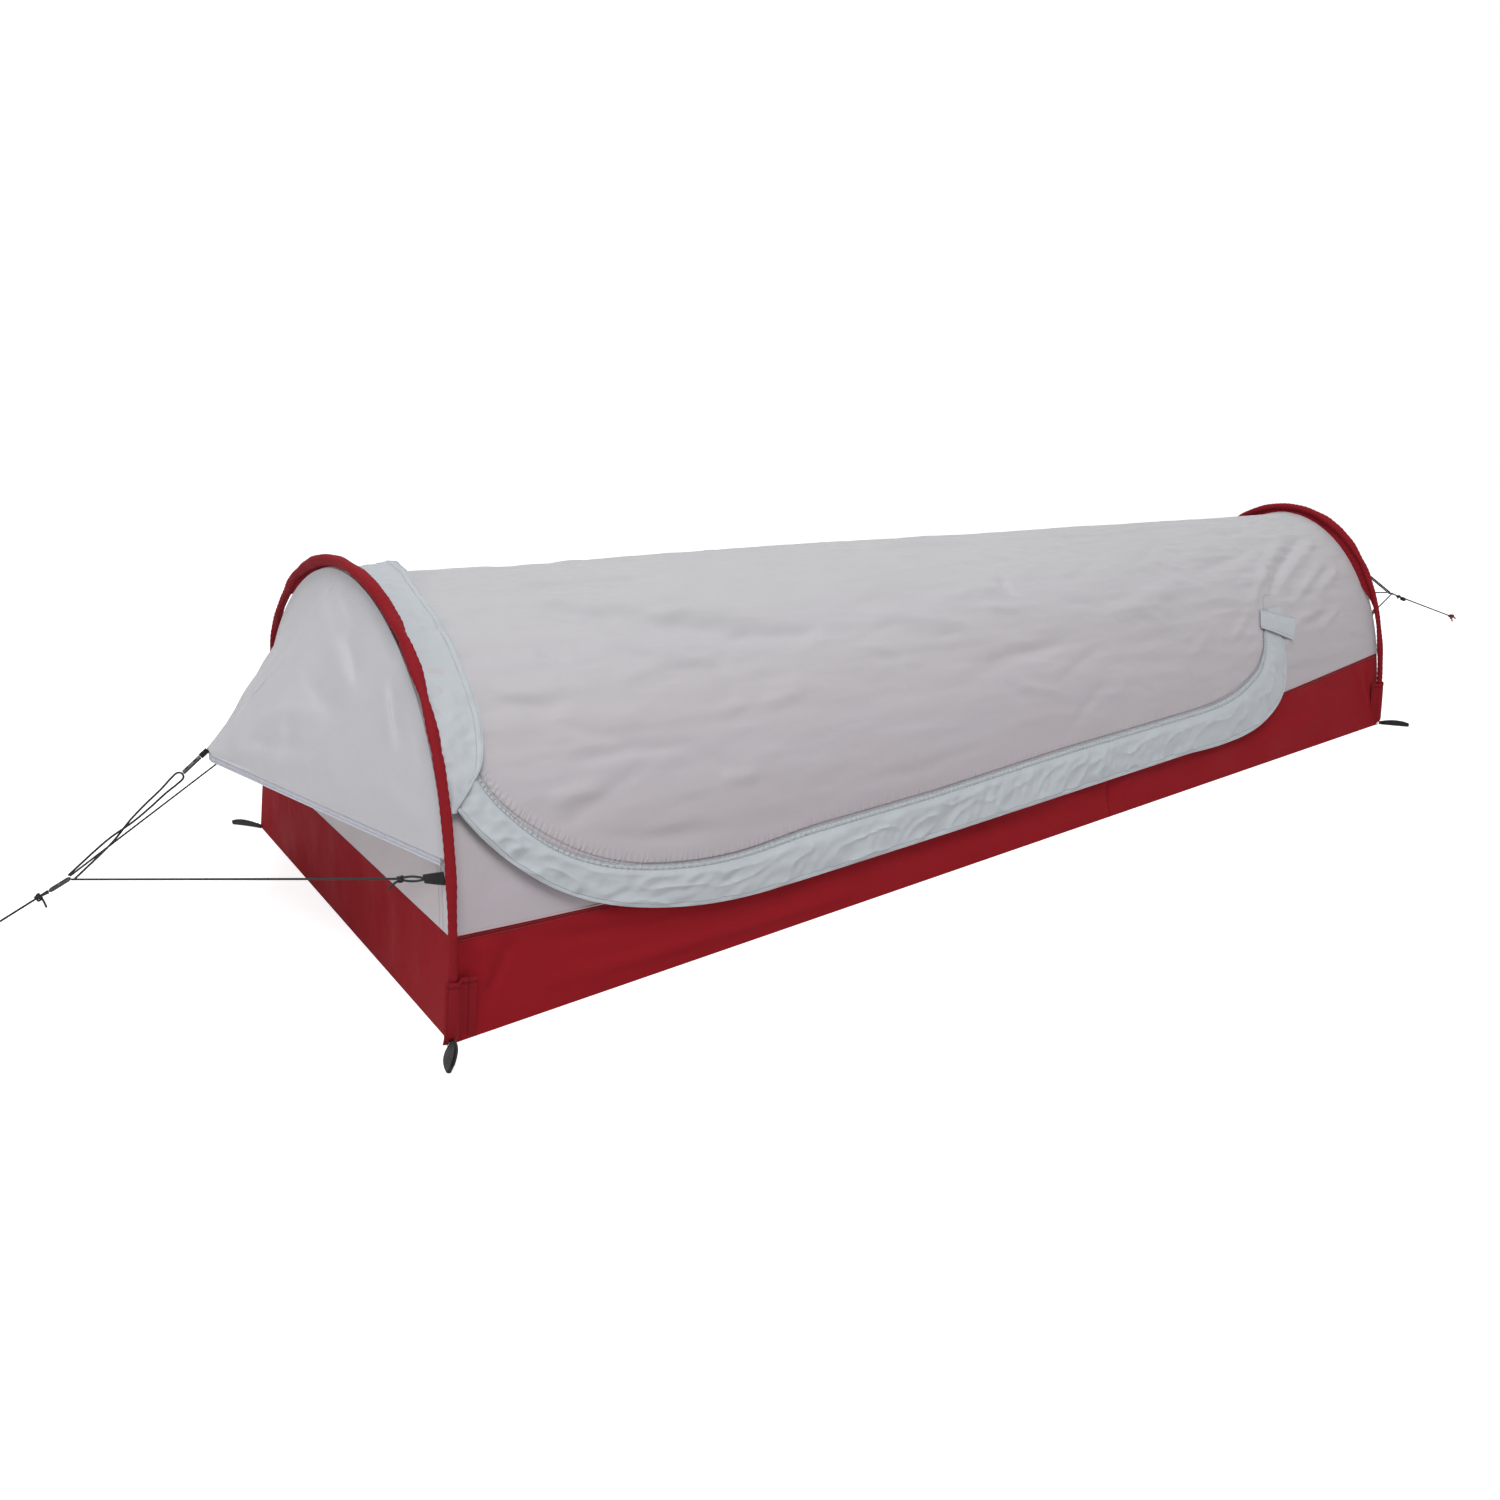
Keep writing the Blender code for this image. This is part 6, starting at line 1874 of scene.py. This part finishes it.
def make_sleeve(end):
    """The sewn sleeve round a pole: gathered cloth with twists and a raised seam."""
    path = hoop_path(end)
    run = steps_along(path)
    start = SLEEVE_START - POLE_FOOT_HEIGHT
    stops = np.linspace(start, run[-1] - start, 620)
    route = read_off(path, run, stops)
    share = (stops - start) / (stops[-1] - start)
    turn = np.linspace(0, 2 * pi, SLEEVE_SIDES + 1)[:, None]
    length, height = stops[None], route[None, :, 2]
    twist = 2.2 * np.sin(share * 11.0) + 1.3 * np.sin(share * 27.0 + SLEEVE_TWIST[end])
    flat = 0.12 * np.cos(2 * (turn - twist[None]))
    ridge = 0.10 * np.exp(-((np.mod(turn - 0.6 * twist[None] + pi, 2 * pi) - pi) / 0.30) ** 2)
    bulges = 0.07 * np.sin(length * 2 * pi / 0.071 + 2 * np.sin(length * 13))
    bulges = bulges * np.sin(length * 2 * pi / 0.233)
    gathers = 0.05 * np.sin(length * 2 * pi / 0.0105 + 2.0 * np.sin(turn * 2 + length * 17))
    if end == "head":
        for at, reach, more in SLEEVE_BUNCHES:
            bulges = bulges + more * np.exp(-((height - at) / reach) ** 2) * (route[None, :, 1] < 0)
    tall = 0.30 * eased(0.40, 0.47, height) * np.sin(turn) ** 2
    base = np.interp(height, SLEEVE_HEIGHTS, SLEEVE_SIZES)
    size = np.maximum(base * (1 + flat + ridge + bulges + gathers + tall), SLEEVE_LEAST)
    size[-1] = size[0]
    mesh = laid_grid(f"{end}_sleeve_cloth", tube_table(route, size, SLEEVE_SIDES, capped=False), closed=True)
    add_piece(f"{end}_sleeve_cloth", mesh, "sleeve", f"{end}_sleeve", thickness=SLEEVE_CLOTH, crease=70)


def make_sleeve_web(end):
    """Red cloth that joins the sleeve to the canopy near the top."""
    near_height, far_height = WEB_ENDS[end]
    along, turned = END_SHARE[end], INWARDS[end]
    u, v = spread(320, 8)
    hoop = hoop_points(end, mix(hoop_angle(near_height), pi - hoop_angle(far_height), u))
    low, high = angle_at_height(along, near_height), pi - angle_at_height(along, far_height)
    inner = body_skin(along + turned * WEB_ON_BODY[end], mix(low, high, u), 0.0003)
    top = hoop + unit(inner - hoop) * WEB_ON_SLEEVE
    table = top + (inner - top) * (v * mix(0.02, 1.0, within(u, 0.08, 0.04)))[..., None]
    table[..., 0] += turned * 0.0007 * np.sin(u * 0.8 * 2 * pi / 0.0125) * np.sin(pi * v)
    add_sheet(f"{end}_sleeve_web", table, "sleeve", thickness=SLEEVE_CLOTH, crease=70)


def dress_poles():
    """The pole sections and elastic cords. The head hoop's are copies that follow its sleeve."""
    for name in list(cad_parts):
        pole = "_pole_" in name and not name.startswith("pole_pocket")
        if not pole and not name.endswith("_shock_cord"):
            continue
        kind = "alloy" if pole else "cord"
        if not name.startswith("head"):
            dress_node(name, kind)
            continue
        shape = bmesh.new()
        shape.from_mesh(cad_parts[name].data)
        bmesh.ops.remove_doubles(shape, verts=shape.verts[:], dist=1e-6)
        for vertex in shape.verts:
            vertex.co.x += float(hoop_shift(vertex.co.y, vertex.co.z))
        mesh = bpy.data.meshes.new(f"{name}_section")
        shape.to_mesh(mesh)
        shape.free()
        add_piece(f"{name}_section", mesh, kind, name)


# Stake loops

def make_stake_loop(end, word):
    """A drop-shaped loop of webbing on edge that lies outwards from a corner."""
    side, turn, along = SIDES[word], LOOP_TURNS[end, word], END_SHARE[end]
    ahead = np.array((-INWARDS[end] * cos(turn), side * sin(turn), 0.0))
    level = np.array((-ahead[1], ahead[0], 0.0))
    reach = floor_half_width(along) + FLOOR_FLARE[0] * 0.8
    corner = np.array((end_plane(along, 0.0), side * reach, 2 * GAP)) + ahead * LOOP_CLEAR
    radius, centre = LOOP_END_RADIUS - 0.0022, LOOP_LENGTH - LOOP_END_RADIUS
    bend = np.linspace(-radians(100), radians(100), 33)
    arc = np.stack((centre + radius * np.cos(bend), radius * np.sin(bend)), 1)
    root = np.array(LOOP_ROOT)
    near_leg, far_leg = straight(root * (1, -1), arc[0], 22)[:-1], straight(arc[-1], root, 22)[1:]
    flat = respaced(np.concatenate((near_leg, arc, far_leg)), LOOP_STOPS)
    run, share = flat[:, 0] / LOOP_LENGTH, np.linspace(0, 1, LOOP_STOPS)
    rise = np.linspace(0, 1, 11)[:, None]
    lean = LOOP_LEAN[end, word] * np.sin(pi * np.clip(run, 0, 1))[None] ** 0.7 * (rise - 0.5)
    curl = 0.0006 * np.sin(pi * rise) * np.cos(share * 9)[None]
    tall = LOOP_ROOT_HEIGHT + LOOP_RISE * np.sin(pi * np.clip(run, 0.02, 0.98) ** 1.15) ** 0.7
    across = flat[None, :, 1] + lean + curl
    table = placed(corner, (ahead, flat[None, :, 0]), (level, across), (UP, rise * tall))
    body = (f"loop_{end}_{word}", corner, corner + ahead * LOOP_BEND)
    middle = placed(corner, (ahead, LOOP_LENGTH / 2), (UP, LOOP_WIDTH / 2))
    mesh = laid_grid(f"{end}_{word}_stake_webbing", table, inside=middle)
    add_piece(f"{end}_{word}_stake_webbing", mesh, "webbing", f"stake_loop_{end}_{word}", body, LOOP_CLOTH)
    zigzag = TACK_PLACE + TACK_WIDTH * (np.arange(TACK_STOPS) % 2)
    up = np.linspace(0.001, 0.007, TACK_STOPS)
    path = placed(corner, (ahead, zigzag), (level, np.full(TACK_STOPS, -0.0032)), (UP, up))
    tube(f"{end}_{word}_stake_tack", path, 0.00035, "webbing", body=body, sides=4)


# The add-on

def setting(name, description, default, least=0.0, **more):
    """A number for the sidebar."""
    return FloatProperty(name=name, description=description, default=default, min=least, **more)


def colour_property(name, description, default):
    """A colour for the sidebar."""
    return FloatVectorProperty(name=name, description=description, default=default, min=0.0, max=1.0, size=3,
                               subtype="COLOR")


class ShelterCloth(bpy.types.PropertyGroup):
    """Sizes of the cloth and the cord, and the strength of the folds."""
    thickness: setting("Thickness", "Thickness of the shelter's cloth", 0.0007, 0.0002, max=0.0012,
                       unit="LENGTH", precision=4)
    fold_scale: setting("Folds", "How strongly the folds show", 1.6, max=4.0, subtype="FACTOR")
    cord_diameter: setting("Cord", "Diameter of the guy lines", 0.0026, 0.001, max=0.004,
                           unit="LENGTH", precision=4)


class ShelterColours(bpy.types.PropertyGroup):
    """Colours of the shelter's materials."""
    canopy: colour_property("Canopy", "Grey cloth of the canopy and the hood", (0.51, 0.505, 0.52))
    # Painted light: a pink tint for the canopy's lower cloth, standing in for red light from the floor tray
    canopy_red_glow: colour_property("Canopy low", "Grey cloth near the red walls", (0.455, 0.405, 0.435))
    hood: colour_property("Hood", "Grey cloth of the hood", (0.515, 0.510, 0.535))
    # Painted light: the same grey cloth as the canopy, painted lighter and pinker for red light from the
    # walls below the hood
    panel: colour_property("Head panel", "Grey cloth below the hood", (0.570, 0.520, 0.540))
    hem: colour_property("Hood hem", "Band along the hood's lower edge", (0.56, 0.56, 0.63))
    pale: colour_property("Collar and flap", "Cloth of the collar and the storm flap", (0.485, 0.515, 0.545))
    red: colour_property("Floor tray", "Red coated cloth of the floor and the walls", (0.285, 0.013, 0.019))
    sleeve: colour_property("Sleeves", "Red cloth of the pole sleeves", (0.240, 0.012, 0.018))
    webbing: colour_property("Webbing", "Stake loops and guy tabs", (0.012, 0.012, 0.013))
    cord: colour_property("Cord", "Guy lines", (0.036, 0.036, 0.038))
    end_knot: colour_property("End knot", "Knot on the foot guy line", (0.20, 0.040, 0.035))
    plastic: colour_property("Plastic", "Buckles, rings and zip sliders", (0.015, 0.015, 0.016))
    alloy: colour_property("Alloy", "Pole sections", (0.62, 0.63, 0.65))
    net: colour_property("Net", "Net in the head vent", (0.10, 0.10, 0.11))
    tape: colour_property("Zip tape", "Tapes and coils of the zip", (0.25, 0.26, 0.28))
    pale_thread: colour_property("Pale thread", "Stitching on the pale and grey cloth", (0.62, 0.66, 0.70))
    red_thread: colour_property("Red thread", "Stitching on the red cloth", (0.20, 0.010, 0.016))
    binding: colour_property("Binding", "Tape over the seam of the walls and the canopy", (0.50, 0.36, 0.38))


class ShelterStage(bpy.types.PropertyGroup):
    """Floor, lamps and camera."""
    floor_size: setting("Floor size", "Width of the square floor", 30.0, 5.0, unit="LENGTH")
    floor_colour: colour_property("Floor", "Colour of the floor", (0.80, 0.80, 0.80))
    floor_glow: setting("Floor glow", "Light that the floor adds where the camera sees it", 0.76, max=1.0)
    daylight: setting("Daylight", "Strength of the even light", 0.36, max=2.0)
    key_power: setting("Key lamp", "Power of the lamp on the door side", 190.0, unit="POWER")
    fill_power: setting("Fill lamp", "Power of the lamp beyond the head end", 18.0, unit="POWER")
    top_power: setting("Top lamp", "Power of the lamp above", 30.0, unit="POWER")
    lens: setting("Lens", "Focal length of the camera", 27.776, 10.0, unit="CAMERA")
    camera_place: FloatVectorProperty(name="Camera place", description="Where the camera stands",
                                      default=(-1.5252, -1.5603, 0.6428), size=3, subtype="TRANSLATION")
    camera_turn: setting("Camera turn", "Turn of the camera from +Y", -0.6066, -pi, subtype="ANGLE")
    camera_tilt: setting("Camera tilt", "Tilt of the camera above level", -0.2653, -pi / 2, subtype="ANGLE")


class SHELTER_OT_stage(bpy.types.Operator):
    """Make the floor, the lamps and the camera."""
    bl_idname = "shelter.stage"
    bl_label = "Stage"

    def execute(self, context):
        make_stage(context)
        return {"FINISHED"}


class SHELTER_OT_guy_lines(bpy.types.Operator):
    """Make the guy lines, their knots and the webbing that they are tied to."""
    bl_idname = "shelter.guy_lines"
    bl_label = "Guy lines"

    def execute(self, context):
        diameter = context.scene.shelter_cloth.cord_diameter
        make_head_line(diameter)
        make_foot_line(diameter * FOOT_LINE_THICKER)
        make_guy_tabs()
        return {"FINISHED"}


class SHELTER_OT_floor_tray(bpy.types.Operator):
    """Make the groundsheet, the red walls and the pole pockets."""
    bl_idname = "shelter.floor_tray"
    bl_label = "Floor tray"

    def execute(self, context):
        make_groundsheet()
        for word in SIDES:
            make_long_wall(word)
        for end in END_SHARE:
            make_end_wall(end)
        for end, word in LOOP_TURNS:
            make_pocket(end, word)
        return {"FINISHED"}


class SHELTER_OT_canopy(bpy.types.Operator):
    """Make the far half of the canopy, the near surround, the door leaf and the tape that joins it."""
    bl_idname = "shelter.canopy"
    bl_label = "Canopy and door"

    def execute(self, context):
        make_near_canopy()
        make_far_canopy()
        make_ridge_tape()
        return {"FINISHED"}


class SHELTER_OT_door_trim(bpy.types.Operator):
    """Make the storm flap, its end tab and the zip."""
    bl_idname = "shelter.door_trim"
    bl_label = "Storm flap and zip"

    def execute(self, context):
        make_storm_flap()
        make_flap_tab()
        make_zip()
        return {"FINISHED"}


class SHELTER_OT_ends(bpy.types.Operator):
    """Make the head panel with its vent, the foot panel, the hood and the collar."""
    bl_idname = "shelter.ends"
    bl_label = "Ends, hood and collar"

    def execute(self, context):
        make_head_panel()
        make_foot_panel()
        make_hood()
        make_collar()
        return {"FINISHED"}


class SHELTER_OT_hoops(bpy.types.Operator):
    """Make the pole sleeves and finish the poles."""
    bl_idname = "shelter.hoops"
    bl_label = "Hoops"

    def execute(self, context):
        for end in END_SHARE:
            make_sleeve(end)
            make_sleeve_web(end)
        dress_poles()
        return {"FINISHED"}


class SHELTER_OT_stake_loops(bpy.types.Operator):
    """Make the webbing stake loops at the corners."""
    bl_idname = "shelter.stake_loops"
    bl_label = "Stake loops"

    def execute(self, context):
        for end, word in LOOP_TURNS:
            make_stake_loop(end, word)
        return {"FINISHED"}


STEPS = (SHELTER_OT_stage, SHELTER_OT_guy_lines, SHELTER_OT_floor_tray, SHELTER_OT_canopy,
         SHELTER_OT_door_trim, SHELTER_OT_ends, SHELTER_OT_hoops, SHELTER_OT_stake_loops)


class SHELTER_PT_panel(bpy.types.Panel):
    """The shelter's settings and steps in the sidebar."""
    bl_idname = "SHELTER_PT_panel"
    bl_label = "Bivvy shelter"
    bl_space_type = "VIEW_3D"
    bl_region_type = "UI"
    bl_category = "Shelter"

    def draw(self, context):
        layout = self.layout
        scene = context.scene
        for group in (scene.shelter_cloth, scene.shelter_colours, scene.shelter_stage):
            box = layout.box()
            for name in group.bl_rna.properties.keys():
                if name not in ("rna_type", "name"):
                    box.prop(group, name)
        for step in STEPS:
            layout.operator(step.bl_idname)


CLASSES = (ShelterCloth, ShelterColours, ShelterStage, *STEPS, SHELTER_PT_panel)


def register():
    """Add the classes and the scene's settings."""
    for made in CLASSES:
        bpy.utils.register_class(made)
    bpy.types.Scene.shelter_cloth = PointerProperty(type=ShelterCloth)
    bpy.types.Scene.shelter_colours = PointerProperty(type=ShelterColours)
    bpy.types.Scene.shelter_stage = PointerProperty(type=ShelterStage)


def unregister():
    """Take them away again."""
    del bpy.types.Scene.shelter_stage
    del bpy.types.Scene.shelter_colours
    del bpy.types.Scene.shelter_cloth
    for made in reversed(CLASSES):
        bpy.utils.unregister_class(made)


def main():
    """Make every piece in order."""
    register()
    for step in STEPS:
        group, name = step.bl_idname.split(".")
        getattr(getattr(bpy.ops, group), name)()


if __name__ == "__main__":
    main()
